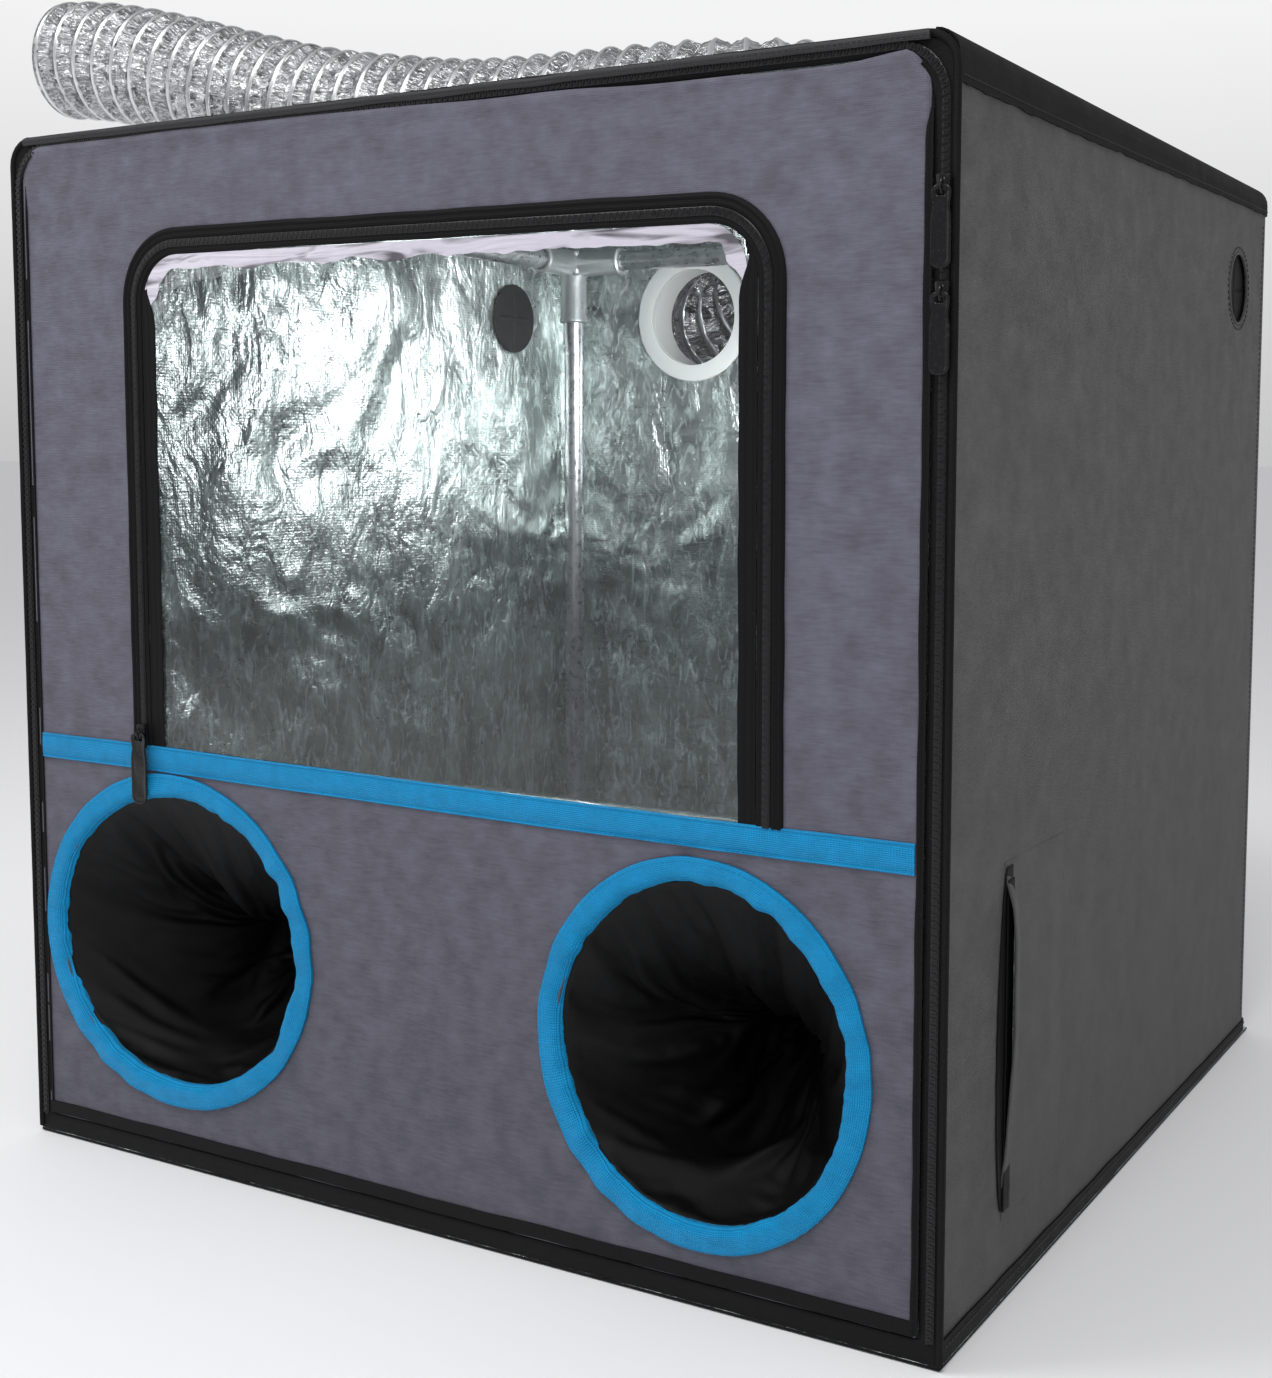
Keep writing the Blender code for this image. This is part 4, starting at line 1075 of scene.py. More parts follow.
class TENT_OT_window(bpy.types.Operator):
    """Window: clear film, its creased edge with painted glare, frame tape, coil, slider and pull"""

    bl_idname = "tent.window"
    bl_label = "Window"

    def execute(self, context):
        look = context.scene.tent_window
        zips = context.scene.tent_zips
        low, high = (FILM_LOW.x + 0.0006, WINDOW_FOOT), (FILM_HIGH.x - 0.0006, FILM_HIGH.z - 0.0006)
        shape = round_box(low, high, WINDOW_CORNER)

        def wave(x, z):
            inside = smooth(-shape(x, z), 0.006, 0.06)
            return inside * (0.0011 * ripple(x, z, 0.16, 7.7) + 0.0003 * ripple(x, z, 0.06, 1.9))

        bm = sheet("front", low, high, 0.005, lambda x, z: -FILM_LOW.y + wave(x, z), shape)
        film = make("film", bm, "window_flap", ["clear film"], ["window_film"])
        thicken(film, look.thickness)
        film.visible_shadow = False

        # The flap's own tape: wide down the sides and a bare edge across the top
        path = round_path((FILM_LOW.x, WINDOW_FOOT), (FILM_HIGH.x, FILM_HIGH.z), WINDOW_CORNER, 0.005)
        section = flat_section(1.0, 0.0007)

        def place(station, side):
            point, inward = path[station]
            across, proud = section[side]
            lower = 1 - smooth(point.y, 0.545, 0.578)
            wide = 0.0022 + 0.0085 * lower * (1 + 0.1 * ripple(point.x, point.y, 0.03, 3))
            at = point + inward * (across * wide)
            return Vector((at.x, FRONT - 0.0001 - proud, at.y))

        marks = [0.0011 * k for k in range(9)]
        bm = loft(len(path), len(section), place, span=(path_length(path), 0.0), marks=marks)
        make("flap_tape", bm, "window_flap", ["zip tape"], ["window_flap_tape"])

        # The creased edge with its painted glare follows the corners and the top
        top = [(p, n) for p, n in round_path(low, high, WINDOW_CORNER, 0.003) if p.y > 0.548]
        edge = flat_section(1.0, 0.0004)

        def crease(station, side):
            point, inward = top[station]
            across, proud = edge[side]
            drop = frame_drop(point.x, point.y)
            wide = look.crease * (1.15 + 0.35 * ripple(point.x, point.y, 0.028, 5)
                                  + 0.2 * ripple(point.x, point.y, 0.01, 6))
            tail = smooth(point.y, 0.548, 0.566)
            at = point + inward * (0.0015 + drop * 0.9 + across * max(wide * tail, 0.0008))
            lift = 0.0005 * ripple(point.x * 3, point.y + across * 0.02, 0.012, 8)
            return Vector((at.x, FRONT - 0.0002 - proud - abs(lift), at.y))

        bm = loft(len(top), len(edge), crease, span=(path_length(top), 0.0),
                  marks=[0.0012 * k for k in range(9)])
        make("film_crease_glare", bm, "window_flap", ["clouded film"])

        # Frame tape on the door, with two sewn ribs outside its coil
        frame_path = []
        for point, inward in round_path((FRAME_LOW.x, WINDOW_FOOT - 0.0015), (FRAME_HIGH.x, FRAME_TOP),
                                        0.0456, 0.005):
            level = max(point.y - frame_drop(point.x, point.y), band_top(point.x) - 0.0010)
            frame_path.append((Vector((point.x, level)), inward))
        ribs = [(0.0160, 0.0), (0.0, 0.0), (0.0, 0.0008), (0.0006, 0.0011), (0.0012, 0.0017),
                (0.0024, 0.0019), (0.0034, 0.0013), (0.0040, 0.0013), (0.0050, 0.0018), (0.0062, 0.0016),
                (0.0070, 0.0010), (0.0125, 0.0009), (0.0140, 0.0011), (0.0155, 0.0010), (0.0160, 0.0006)]
        bm = front_strip(frame_path, ribs, out=0.0003, wander=0.0005, seed=21)
        make("frame_tape", bm, "door", ["zip tape"], ["window_frame_tape"])
        centre = [(point + inward * 0.0098, inward) for point, inward in frame_path]
        base = [(a - 0.0024, b) for a, b in flat_section(0.0048, 0.0005, crown=0.0002)]
        bm = front_strip(centre, base, out=0.0012)
        add_teeth(bm, centre, zips.pitch, 0.0040, 0.0005, 0.0016)
        make("window_coil", bm, "door", ["nylon coil"], ["window_zip_coil"])
        slider("window_zip_slider", "window_slider_body", "window_slider")
        zip_pull("window_zip_pull", "window_pull", "window_pull_body", 1.0)
        return {"FINISHED"}


class TENT_OT_band(bpy.types.Operator):
    """Blue webbing band across the door"""

    bl_idname = "tent.band"
    bl_label = "Blue band"

    def execute(self, context):
        look = context.scene.tent_webbing
        left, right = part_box("blue_band")[0].x - 0.0022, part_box("blue_band")[1].x - 0.0006
        height = look.band_height
        count = 150
        places = [left + (right - left) * k / count for k in range(count + 1)]
        path = [(Vector((x, band_top(x))), Vector((0, -1))) for x in places]
        section = [(height, 0.0), (0.0, 0.0), (0.0, 0.0007), (0.0004, 0.0012), (0.0014, 0.0012),
                   (0.0019, 0.0009), (0.0024, 0.0013), (height / 2, 0.0014), (height - 0.0024, 0.0013),
                   (height - 0.0019, 0.0009), (height - 0.0014, 0.0012), (height - 0.0004, 0.0012),
                   (height, 0.0007)]
        bm = front_strip(path, section, out=0.0003, relief=front_lift)
        make("band_webbing", bm, "door", ["blue webbing"], ["blue_band"])
        bm = bmesh.new()
        for inset in (0.0019, height - 0.0019):
            points = [Vector((p.x, FRONT - 0.0013 - front_lift(p.x, p.y), p.y - inset)) for p, _ in path]
            add_stitches(bm, points, pitch=0.0032)
        make("band_stitches", bm, "door", ["blue webbing"])
        return {"FINISHED"}


class TENT_OT_arms(bpy.types.Operator):
    """Arm openings: gathered bindings, hanging sleeves and their elastic cuffs"""

    bl_idname = "tent.arms"
    bl_label = "Arm openings"

    def execute(self, context):
        for side, (centre, half) in ARMS.items():
            self.binding(side, centre, half)
            self.sleeve(side, centre, half)
        return {"FINISHED"}

    def binding(self, side, centre, half):
        look = bpy.context.scene.tent_webbing
        seed = 11.0 if side == "left" else 27.0
        width = look.binding
        stations = 300
        section = [(1.0, -0.0046), (0.93, -0.0052), (0.5, -0.0004), (0.0, 0.0), (0.0, 0.0012),
                   (0.05, 0.0022), (0.16, 0.0025), (0.34, 0.0029), (0.55, 0.0034), (0.72, 0.0036),
                   (0.86, 0.0027), (0.96, 0.0004), (1.0, -0.0022)]

        def place(station, point):
            angle = TAU * station / stations
            ray = Vector((math.cos(angle), math.sin(angle)))
            across, proud = section[point]
            tuck = noise.noise(Vector((ray.x * 4.5, ray.y * 4.5, seed)))
            tuck += 0.6 * noise.noise(Vector((ray.x * 11, ray.y * 11, seed + 7)))
            tuck = 0.5 + 0.9 * tuck
            deep = smooth(across, 0.25, 1.0)
            wide = width * (1 + 0.10 * noise.noise(Vector((ray.x * 1.7, ray.y * 1.7, seed + 4))))
            inner = wide * across + look.gather * deep * (tuck - 0.5)
            inner += 0.0003 * noise.noise(ray.to_3d() * 30)
            at = Vector((centre.x + (half[0] - inner) * ray.x, centre.y + (half[1] - inner) * ray.y))
            fold = deep * (0.0034 * tuck - 0.0017)
            turned = 0.0022 * deep * max(0.0, -ray.x)
            return Vector((at.x, FRONT - 0.0003 - front_lift(at.x, at.y) - proud - fold + turned, at.y))

        shares = (1.4, 1.3, 1.1, 1.05, 0.0, 0.05, 0.16, 0.34, 0.55, 0.72, 0.86, 0.96, 1.0, 1.4)
        marks = [share * width for share in shares]
        bm = loft(stations, len(section), place, loop=True, span=(TAU * half[0], 0.0), marks=marks)
        make(f"arm_{side}_binding", bm, "door", ["blue webbing"], [f"arm_binding_{side}"],
             50)
        bm = bmesh.new()
        points = []
        for k in range(201):
            angle = TAU * k / 200
            x = centre.x + (half[0] - 0.0026) * math.cos(angle)
            z = centre.y + (half[1] - 0.0026) * math.sin(angle)
            points.append(Vector((x, FRONT - 0.0027 - front_lift(x, z), z)))
        add_stitches(bm, points)
        make(f"arm_{side}_stitches", bm, "door", ["blue webbing"])

    def sleeve(self, side, centre, half):
        """A cone of thin cloth, gathered at both ends, whose middle hangs down in folds."""
        seed = 3.0 if side == "left" else 9.0
        cuff_low, cuff_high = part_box(f"sleeve_cuff_{side}")
        end = Vector(((cuff_low.x + cuff_high.x) / 2, (cuff_low.z + cuff_high.z) / 2))
        mouth = (half[0] - 0.0135, half[1] - 0.0135)
        deep = cuff_low.y - 0.0004 - (FRONT + 0.0032)
        stations, sides = 44, 120

        def place(station, point):
            share = station / (stations - 1)
            angle = TAU * point / sides
            ray = Vector((math.cos(angle), math.sin(angle)))
            narrow = share ** 0.8
            radius = Vector([m + (CUFF - m) * narrow for m in mouth])
            middle = centre.lerp(end, share)
            slack = math.sin(math.pi * share)
            gather = noise.noise(Vector((ray.x * 1.5, ray.y * 1.5, seed + share * 1.4)))
            fine = noise.noise(Vector((ray.x * 3.4, ray.y * 3.4, seed + 20 + share * 1.6)))
            fold = 0.026 * (1 - 2 * abs(gather)) * slack + 0.006 * (1 - 2 * abs(fine)) * slack
            puckers = 0.0012 * noise.noise(Vector((ray.x * 9, ray.y * 9, seed)))
            puckers *= 1 - smooth(share, 0.0, 0.25)
            droop = 0.030 * slack * (0.35 + 0.65 * max(0.0, ray.y))
            floor = 0.006 * slack * min(ray.y, 0.0)
            x = middle.x + (radius.x - fold * 0.8 - puckers) * ray.x
            z = middle.y + (radius.y - fold * 0.8 - puckers) * ray.y - droop + floor
            bulge = 0.020 * slack * noise.noise(Vector((ray.x * 1.3, ray.y * 1.3, seed + 40)))
            return Vector((x, FRONT + 0.0032 + deep * share + bulge, z))

        reach = 0.165
        bm = loft(stations, sides, place, caps=False, span=(reach, TAU * mouth[0]))
        bmesh.ops.reverse_faces(bm, faces=bm.faces[:])
        piece = make(f"arm_{side}_sleeve", bm, "door", ["sleeve cloth"],
                     [f"arm_sleeve_{side}"], 180)
        self.hang(piece)
        thicken(piece, 0.0009)
        rise = piece.modifiers.new("rounding", "SUBSURF")
        rise.levels = rise.render_levels = 1
        piece.modifiers.move(1, 0)
        level = (cuff_low.y + cuff_high.y) / 2
        cord = 0.0030
        turns = 96

        def ring(station, point):
            angle = TAU * station / turns
            spoke = TAU * point / 8
            pinch = 1 + 0.22 * math.sin(angle * 24)
            radius = CUFF + cord * pinch * math.cos(spoke)
            return Vector((end.x + radius * math.cos(angle), level + cord * math.sin(spoke),
                           end.y + radius * math.sin(angle)))

        bm = loft(turns, 8, ring, loop=True, span=(0.21, 0.02))
        make(f"arm_{side}_cuff", bm, "door", ["black cloth"], [f"sleeve_cuff_{side}"])

    def hang(self, piece):
        """Lets the sleeve hang between its two held ends, as cloth."""
        scene = bpy.context.scene
        mesh = piece.data
        front = min(v.co.y for v in mesh.vertices)
        back = max(v.co.y for v in mesh.vertices)
        start = [v.co.copy() for v in mesh.vertices]
        held = piece.vertex_groups.new(name="held")
        ends = [v.index for v in mesh.vertices if v.co.y < front + 0.0035 or v.co.y > back - 0.003]
        held.add(ends, 1.0, "REPLACE")
        cloth = piece.modifiers.new("hang", "CLOTH")
        settings = cloth.settings
        settings.vertex_group_mass = "held"
        settings.quality = 6
        settings.mass = 0.15
        settings.tension_stiffness = 12
        settings.compression_stiffness = 12
        settings.bending_stiffness = 0.02
        settings.shrink_min = -0.06
        cloth.collision_settings.use_collision = False
        cloth.collision_settings.use_self_collision = True
        cloth.collision_settings.self_distance_min = 0.0015
        cloth.point_cache.frame_start = 1
        cloth.point_cache.frame_end = SLEEVE_FRAMES
        for step in range(1, SLEEVE_FRAMES + 1):
            scene.frame_set(step)
        shape = piece.evaluated_get(bpy.context.evaluated_depsgraph_get()).to_mesh()
        moved = [v.co.copy() for v in shape.vertices]
        piece.evaluated_get(bpy.context.evaluated_depsgraph_get()).to_mesh_clear()
        piece.modifiers.remove(cloth)
        scene.frame_set(1)
        for v, old, new in zip(mesh.vertices, start, moved):
            shift = new - old
            if shift.length > SLEEVE_SHIFT:
                shift *= SLEEVE_SHIFT / shift.length
            v.co = old + shift
        piece.vertex_groups.clear()


def u_path(reach, y_front, y_back):
    """Points and outward directions down the left side, across the back and up the right side."""
    bend, step = SHOULDER, 0.006
    path = []

    def run(a, b, outward):
        count = max(2, round((Vector(b) - Vector(a)).length / step))
        path.extend((Vector(a).lerp(Vector(b), k / count), Vector(outward)) for k in range(count + 1))

    def turn(centre, start):
        for k in range(1, 5):
            angle = start - k * math.pi / 2 / 5
            ray = Vector((math.cos(angle), math.sin(angle)))
            path.append((Vector(centre) + bend * ray, ray))

    run((-reach, y_front), (-reach, y_back - bend), (-1, 0))
    turn((-reach + bend, y_back - bend), math.pi)
    run((-reach + bend, y_back), (reach - bend, y_back), (0, 1))
    turn((reach - bend, y_back - bend), math.pi / 2)
    run((reach, y_back - bend), (reach, y_front), (1, 0))
    return path


def u_trim(name, node, edge, thick, turned):
    """A strip round the sides and back, above edge(point). Turned, it goes over the shoulder."""
    low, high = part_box(node)
    path = u_path(WALL + 0.0002, low.y, BACK_WALL + 0.0002)
    outer = [(0.0, 0.0, -1.0, 0.0), (0.0, 0.5, -1.0, 0.0)]
    if turned:
        for k in range(7):
            angle = k * math.pi / 12
            c, d = math.cos(angle), math.sin(angle)
            outer.append((SHOULDER * (1 - c) * 0.97, TOP - 0.0006 - SHOULDER * (1 - d), -c, d))
    else:
        outer.append((0.0, high.z, -1.0, 0.0))
    ring = [(a + thick * n, z + thick * m * (z > 0.5)) for a, z, n, m in outer]
    ring += [(a, z) for a, z, _, _ in reversed(outer)]
    last = len(ring) - 1

    def place(station, side):
        point, outward = path[station]
        inset, z = ring[side]
        bottom = edge(point)
        if side in (0, last):
            z = bottom
        elif side in (1, last - 1):
            z = (bottom + outer[2][1]) / 2
        elif not turned:
            z -= 0.0034 * smooth(point.y, -0.3, 0.3) + 0.0006 * ripple(point.x + point.y, 0, 0.03, 6)
        at = point - outward * inset
        return Vector((at.x, at.y, z))

    marks = section_marks([(x, z if z > 0.01 else 0.0) for x, z in ring])
    bm = loft(len(path), len(ring), place, span=(path_length(path), 0.0), marks=[m % 0.05 for m in marks])
    make(name, bm, "root", ["black cloth"], [node])


class TENT_OT_walls(bpy.types.Operator):
    """Side and back walls, roof, floor and the black trims round them"""

    bl_idname = "tent.walls"
    bl_label = "Walls, roof and floor"

    def execute(self, context):
        look = context.scene.tent_cloth
        port_low, port_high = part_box("port_membrane_right")
        port = oval(((port_low.y + port_high.y) / 2, (port_low.z + port_high.z) / 2),
                    (PORT_HOLE, PORT_HOLE))
        opening = round_box(*SIDE_OPENING, 0.012, 0.012)
        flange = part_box("duct_flange")
        vent = oval(((flange[0].x + flange[1].x) / 2, (flange[0].z + flange[1].z) / 2),
                    (VENT_HOLE, VENT_HOLE))
        pair = ["wall cloth", "silver lining"]
        for side in ("left", "right"):
            low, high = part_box(side + "_wall")
            a, b = (low.y, low.z), (BACK_WALL - LAP, TOP - LAP)
            holes = [port, opening] if side == "right" else [port]
            swell = 0.0016 if side == "right" else 0.0026

            def out(u, v, a=a, b=b, side=side, swell=swell):
                near = smooth(port(u, v), 0.006, 0.03) * smooth(opening(u, v), 0.012, 0.04)
                turn = max(shoulder(BACK_WALL - u), shoulder(TOP - 0.001 - v))
                return WALL - turn + near * wall_lift(u, v, a, b, 14.0 if side == "right" else 33.0, swell)

            bm = sheet(side, a, b, 0.0045, out, None, holes)
            wall = make(side + "_wall_cloth", bm, "root", pair, [side + "_wall"])
            thicken(wall, look.thickness, lined=True)
        low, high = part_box("back_wall")
        a, b = (-WALL + LAP, low.z), (WALL - LAP, TOP - LAP)

        def back_out(u, v):
            turn = max(shoulder(WALL - abs(u)), shoulder(TOP - 0.001 - v))
            return BACK_WALL - turn + smooth(vent(u, v), 0.014, 0.04) * wall_lift(u, v, a, b, 51.0, 0.0022)

        bm = sheet("back", a, b, 0.0045, back_out, None, [vent])
        wall = make("back_wall_cloth", bm, "root", pair, ["back_wall"])
        thicken(wall, look.thickness, lined=True)

        low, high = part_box("roof_panel")
        a, b = (LAP - WALL, low.y + 0.0002), (WALL - LAP, BACK_WALL - LAP)

        def roof_out(u, v):
            edge = min(u - a[0], b[0] - u, v - a[1], b[1] - v)
            turn = max(shoulder(WALL - abs(u)), shoulder(BACK_WALL - v))
            sag = smooth(edge, 0.03, 0.2) * 0.0013
            wave = 0.0003 * ripple(u, v, 0.05, 3) * smooth(edge, 0, 0.05)
            return TOP - 0.0009 - turn - sag + wave

        bm = sheet("top", a, b, 0.0055, roof_out, round_box(a, b, SHOULDER - LAP))
        roof = make("roof_cloth", bm, "root", ["charcoal cloth", "silver lining"],
                    ["roof_panel"])
        thicken(roof, 0.0015, lined=True)
        low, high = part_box("floor_panel")
        a, b = (low.x + 0.0002, low.y + 0.0002), (high.x - 0.0002, high.y - 0.0002)
        bm = sheet("bottom", a, b, 0.012, lambda *_: -0.0002)
        ground = make("floor_cloth", bm, "root", ["black cloth", "silver lining"],
                      ["floor_panel"])
        thicken(ground, 0.0016, lined=True)

        def top_edge(point):
            along = point.x + point.y
            ragged = 0.0012 * ripple(along, 0, 0.02, 5) + 0.0007 * ripple(along, 0, 0.006, 6)
            return 0.6440 + 0.0055 * smooth(point.y, -0.25, 0.3) + ragged

        u_trim("top_binding", "top_trim", top_edge, 0.0012, True)
        u_trim("base_binding", "base_trim", lambda _: 0.0022, 0.0011, False)
        bm = bmesh.new()
        for height, drop in ((0.6480, 0.0045), (0.0100, -0.0020)):
            path = u_path(WALL + 0.0014, FRONT + 0.006, BACK_WALL + 0.0014)
            points = [Vector((p.x, p.y, height + drop * smooth(p.y, -0.25, 0.3))) for p, _ in path]
            add_stitches(bm, points, [Vector((n.x, n.y, 0)) for _, n in path], pitch=0.0042)
        for x in (-WALL - 0.0004, WALL + 0.0004):
            points = [Vector((x, 0.303, 0.016 + k * 0.006)) for k in range(105)]
            add_stitches(bm, points, [Vector((math.copysign(1, x), 0, 0))] * len(points), pitch=0.0042)
        make("wall_stitches", bm, "root", ["charcoal cloth"])
        return {"FINISHED"}


class TENT_OT_ports(bpy.types.Operator):
    """Cable ports: a rubbery membrane cut in four, in a bound round hole"""

    bl_idname = "tent.ports"
    bl_label = "Cable ports"

    def execute(self, context):
        for side in ("left", "right"):
            low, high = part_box("port_membrane_" + side)
            centre = ((low.y + high.y) / 2, (low.z + high.z) / 2)
            disc = oval(centre, (0.0310, 0.0310))
            sign = 1 if side == "right" else -1

            def out(u, v):
                away = math.hypot(u - centre[0], v - centre[1])
                cross = min(abs(u - centre[0]), abs(v - centre[1]))
                slit = 0.0010 * math.exp(-((cross / 0.0011) ** 2)) * (1 - smooth(away, 0.020, 0.024))
                dish = 0.0012 * (1 - smooth(away, 0.004, 0.026))
                return (high.x if sign > 0 else -low.x) - 0.0002 - slit - dish

            bm = sheet(side, (centre[0] - 0.0312, centre[1] - 0.0312),
                       (centre[0] + 0.0312, centre[1] + 0.0312),
                       0.0009, out, disc)
            piece = make(f"port_{side}_membrane", bm, "root", ["sleeve cloth"],
                         ["port_membrane_" + side])
            thicken(piece, 0.0008)
            rim = [(0.0264, 0.0), (0.0251, -0.0006), (0.0249, 0.0004), (0.0254, 0.0008), (0.0262, 0.0006)]

            def place(station, point):
                angle = TAU * station / 96
                radius, proud = rim[point]
                wave = 1 + 0.008 * math.sin(angle * 3 + 1)
                return Vector((sign * (WALL + 0.0001 + proud), centre[0] + radius * wave * math.cos(angle),
                               centre[1] + radius * math.sin(angle)))

            bm = loft(96, len(rim), place, loop=True, span=(TAU * 0.026, 0), marks=section_marks(rim))
            make(f"port_{side}_rim", bm, "root", ["wall cloth"])
            bm = bmesh.new()
            points, outs = [], []
            for k in range(97):
                angle = TAU * k / 96
                points.append(Vector((sign * (WALL + 0.0004), centre[0] + 0.0300 * math.cos(angle),
                                      centre[1] + 0.0300 * math.sin(angle))))
                outs.append(Vector((sign, 0, 0)))
            add_stitches(bm, points, outs, pitch=0.0046, share=0.5, thick=0.0007)
            make(f"port_{side}_stitches", bm, "root", ["charcoal cloth"])
        return {"FINISHED"}


class TENT_OT_side_flap(bpy.types.Operator):
    """Flap over the side opening, whose front edge gapes a little, with its two hook and loop strips; the
    hook strip reaches forward into the gap as painted shade
    """

    bl_idname = "tent.side_flap"
    bl_label = "Side flap"

    def execute(self, context):
        low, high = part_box("side_flap")
        a, b = (low.y + 0.0035, low.z), (high.y, high.z)

        def lip(v):
            """How far the front edge draws back from the opening at a height."""
            share = min(max((v - a[1]) / (b[1] - a[1]), 0.0), 1.0)
            body = math.sin(math.pi * share) ** 0.8
            ragged = 0.0006 * ripple(0, v, 0.011, 5)
            gape = 0.0008 + 0.0036 * body * (0.5 + 0.9 * share)
            return gape + 0.0030 * (1 - smooth(v, a[1], a[1] + 0.02)) + ragged

        def outline(u, v):
            return max(a[0] + lip(v) - u, u - b[0], a[1] - v, v - b[1])

        def out(u, v):
            edge = smooth(b[0] - u, 0.0, 0.03) * smooth(min(v - a[1], b[1] - v), 0.002, 0.05)
            loose = smooth(v, a[1] + 0.01, a[1] + 0.12)
            gape = 0.0042 * (1 - smooth(u - a[0] - lip(v), 0.0, 0.018)) * loose
            flush = WALL + 0.0001 + edge * (low.x + 0.0002 - WALL)
            return flush + edge * 0.0006 * ripple(u, v, 0.05, 3) + gape * smooth(b[1] - v, 0.0, 0.03)

        bm = sheet("right", a, b, 0.0022, out, outline)
        flap = make("flap_cloth", bm, "side_flap_body", ["wall cloth", "black cloth"],
                    ["side_flap"])
        thicken(flap, 0.0010, lined=True)
        for name, node, body in (("hook_strip", "side_hook_strip", "root"),
                                 ("loop_strip", "side_loop_strip", "side_flap_body")):
            s_low, s_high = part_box(node)
            # Painted shade: the hook strip is real black tape, but its lens-shaped front, which reaches
            # past the tape under the gaping lip, is a black sheet standing in for the shade in the slit.
            start = -0.2460 if name == "hook_strip" else s_low.y + 0.004
            top = s_high.z + (0.003 if name == "hook_strip" else -0.004)

            def lens(u, v, start=start, top=top, s_low=s_low, s_high=s_high, name=name):
                share = min(max((v - s_low.z) / (top - s_low.z), 0.0), 1.0)
                edge = start + (0.0105 * (1 - math.sin(math.pi * share ** 0.8) ** 0.6)
                                if name == "hook_strip" else 0.0)
                edge += 0.0006 * ripple(0, v, 0.012, 2)
                return max(edge - u, u - s_high.y, s_low.z - v, v - top)

            bm = sheet("right", (start, s_low.z), (s_high.y, top), 0.0022,
                       lambda u, v, s_high=s_high: s_high.x, lens)
            strip = make(name + "_cloth", bm, body, ["black cloth"], [node])
            thicken(strip, 0.0005)
        return {"FINISHED"}


class TENT_OT_frame_metal(bpy.types.Operator):
    """Poles and rails of round steel tube, and the eight three-way corners"""

    bl_idname = "tent.frame_metal"
    bl_label = "Frame"

    def execute(self, context):
        for name in [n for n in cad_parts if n.startswith(("pole_", "rail_"))]:
            low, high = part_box(name)
            spans = high - low
            way = max(range(3), key=lambda k: spans[k])
            bm = bmesh.new()
            radius = min(spans) / 2
            bmesh.ops.create_cone(bm, cap_ends=True, segments=32, radius1=radius, radius2=radius,
                                  depth=spans[way])
            turn = {0: Matrix.Rotation(math.pi / 2, 3, "Y"), 1: Matrix.Rotation(math.pi / 2, 3, "X"),
                    2: Matrix.Identity(3)}[way]
            bmesh.ops.rotate(bm, matrix=turn, verts=bm.verts[:])
            bmesh.ops.translate(bm, vec=(low + high) / 2, verts=bm.verts[:])
            tube = make(name + "_tube", bm, "root", ["pole steel"], [name])
            soften(tube, 0.0008)
        look = context.scene.tent_frame
        for name in [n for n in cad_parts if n.startswith("corner_")]:
            low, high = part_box(name)
            sign = Vector((1 if high.x > 0 else -1, 1 if high.y > 0 else -1, 1 if high.z > 0.3 else -1))
            hub = sign * CORNER_HUB
            hub.z = CORNER_TOP if sign.z > 0 else CORNER_FOOT
            outer = max(abs(high.x), abs(low.x)) - abs(hub.x)
            bm = bmesh.new()
            bmesh.ops.create_cube(bm, size=outer * 2 * 0.99)
            bmesh.ops.bevel(bm, geom=bm.edges[:], offset=0.005, affect="EDGES", segments=4, profile=0.5,
                            material=-1)
            bmesh.ops.translate(bm, vec=hub, verts=bm.verts[:])
            reach = SOCKET_REACH - outer
            tube = outer * 0.97
            for way in range(3):
                across = Vector((0, 0, 0))
                across[way] = -sign[way]
                profile = [(0.0, 0.0), (tube, 0.0), (tube, reach - 0.006),
                           (tube + look.bead, reach - 0.0045), (tube + look.bead, reach - 0.0012),
                           (tube - 0.0004, reach), (0.0096, reach), (0.0096, reach - 0.012)]
                self.socket(bm, hub, across, [(r, z + outer * 0.9 - 0.001) for r, z in profile])
            make(name + "_cast", bm, "root", ["corner metal"], [name])
        return {"FINISHED"}

    def socket(self, bm, hub, along, profile):
        """Spins a socket's profile round its axis."""
        side = Vector((along.y, along.z, along.x))
        verts = [bm.verts.new(hub + along * z + side * r) for r, z in profile]
        edges = [bm.edges.new(pair) for pair in zip(verts, verts[1:])]
        bmesh.ops.spin(bm, geom=verts + edges, cent=hub, axis=along, angle=TAU, steps=28, use_merge=True)
        bmesh.ops.remove_doubles(bm, verts=bm.verts[:], dist=1e-6)
        bmesh.ops.recalc_face_normals(bm, faces=bm.faces[:])


def spun_ring(centre, profile, steps=72):
    """A closed ring about the back wall's outward axis, from its (radius, y) profile."""

    def place(station, point):
        angle = TAU * station / steps
        radius, y = profile[point]
        return Vector((centre.x + radius * math.cos(angle), y, centre.y + radius * math.sin(angle)))

    return loft(steps, len(profile), place, loop=True, span=(0.3, 0.0), marks=section_marks(profile))


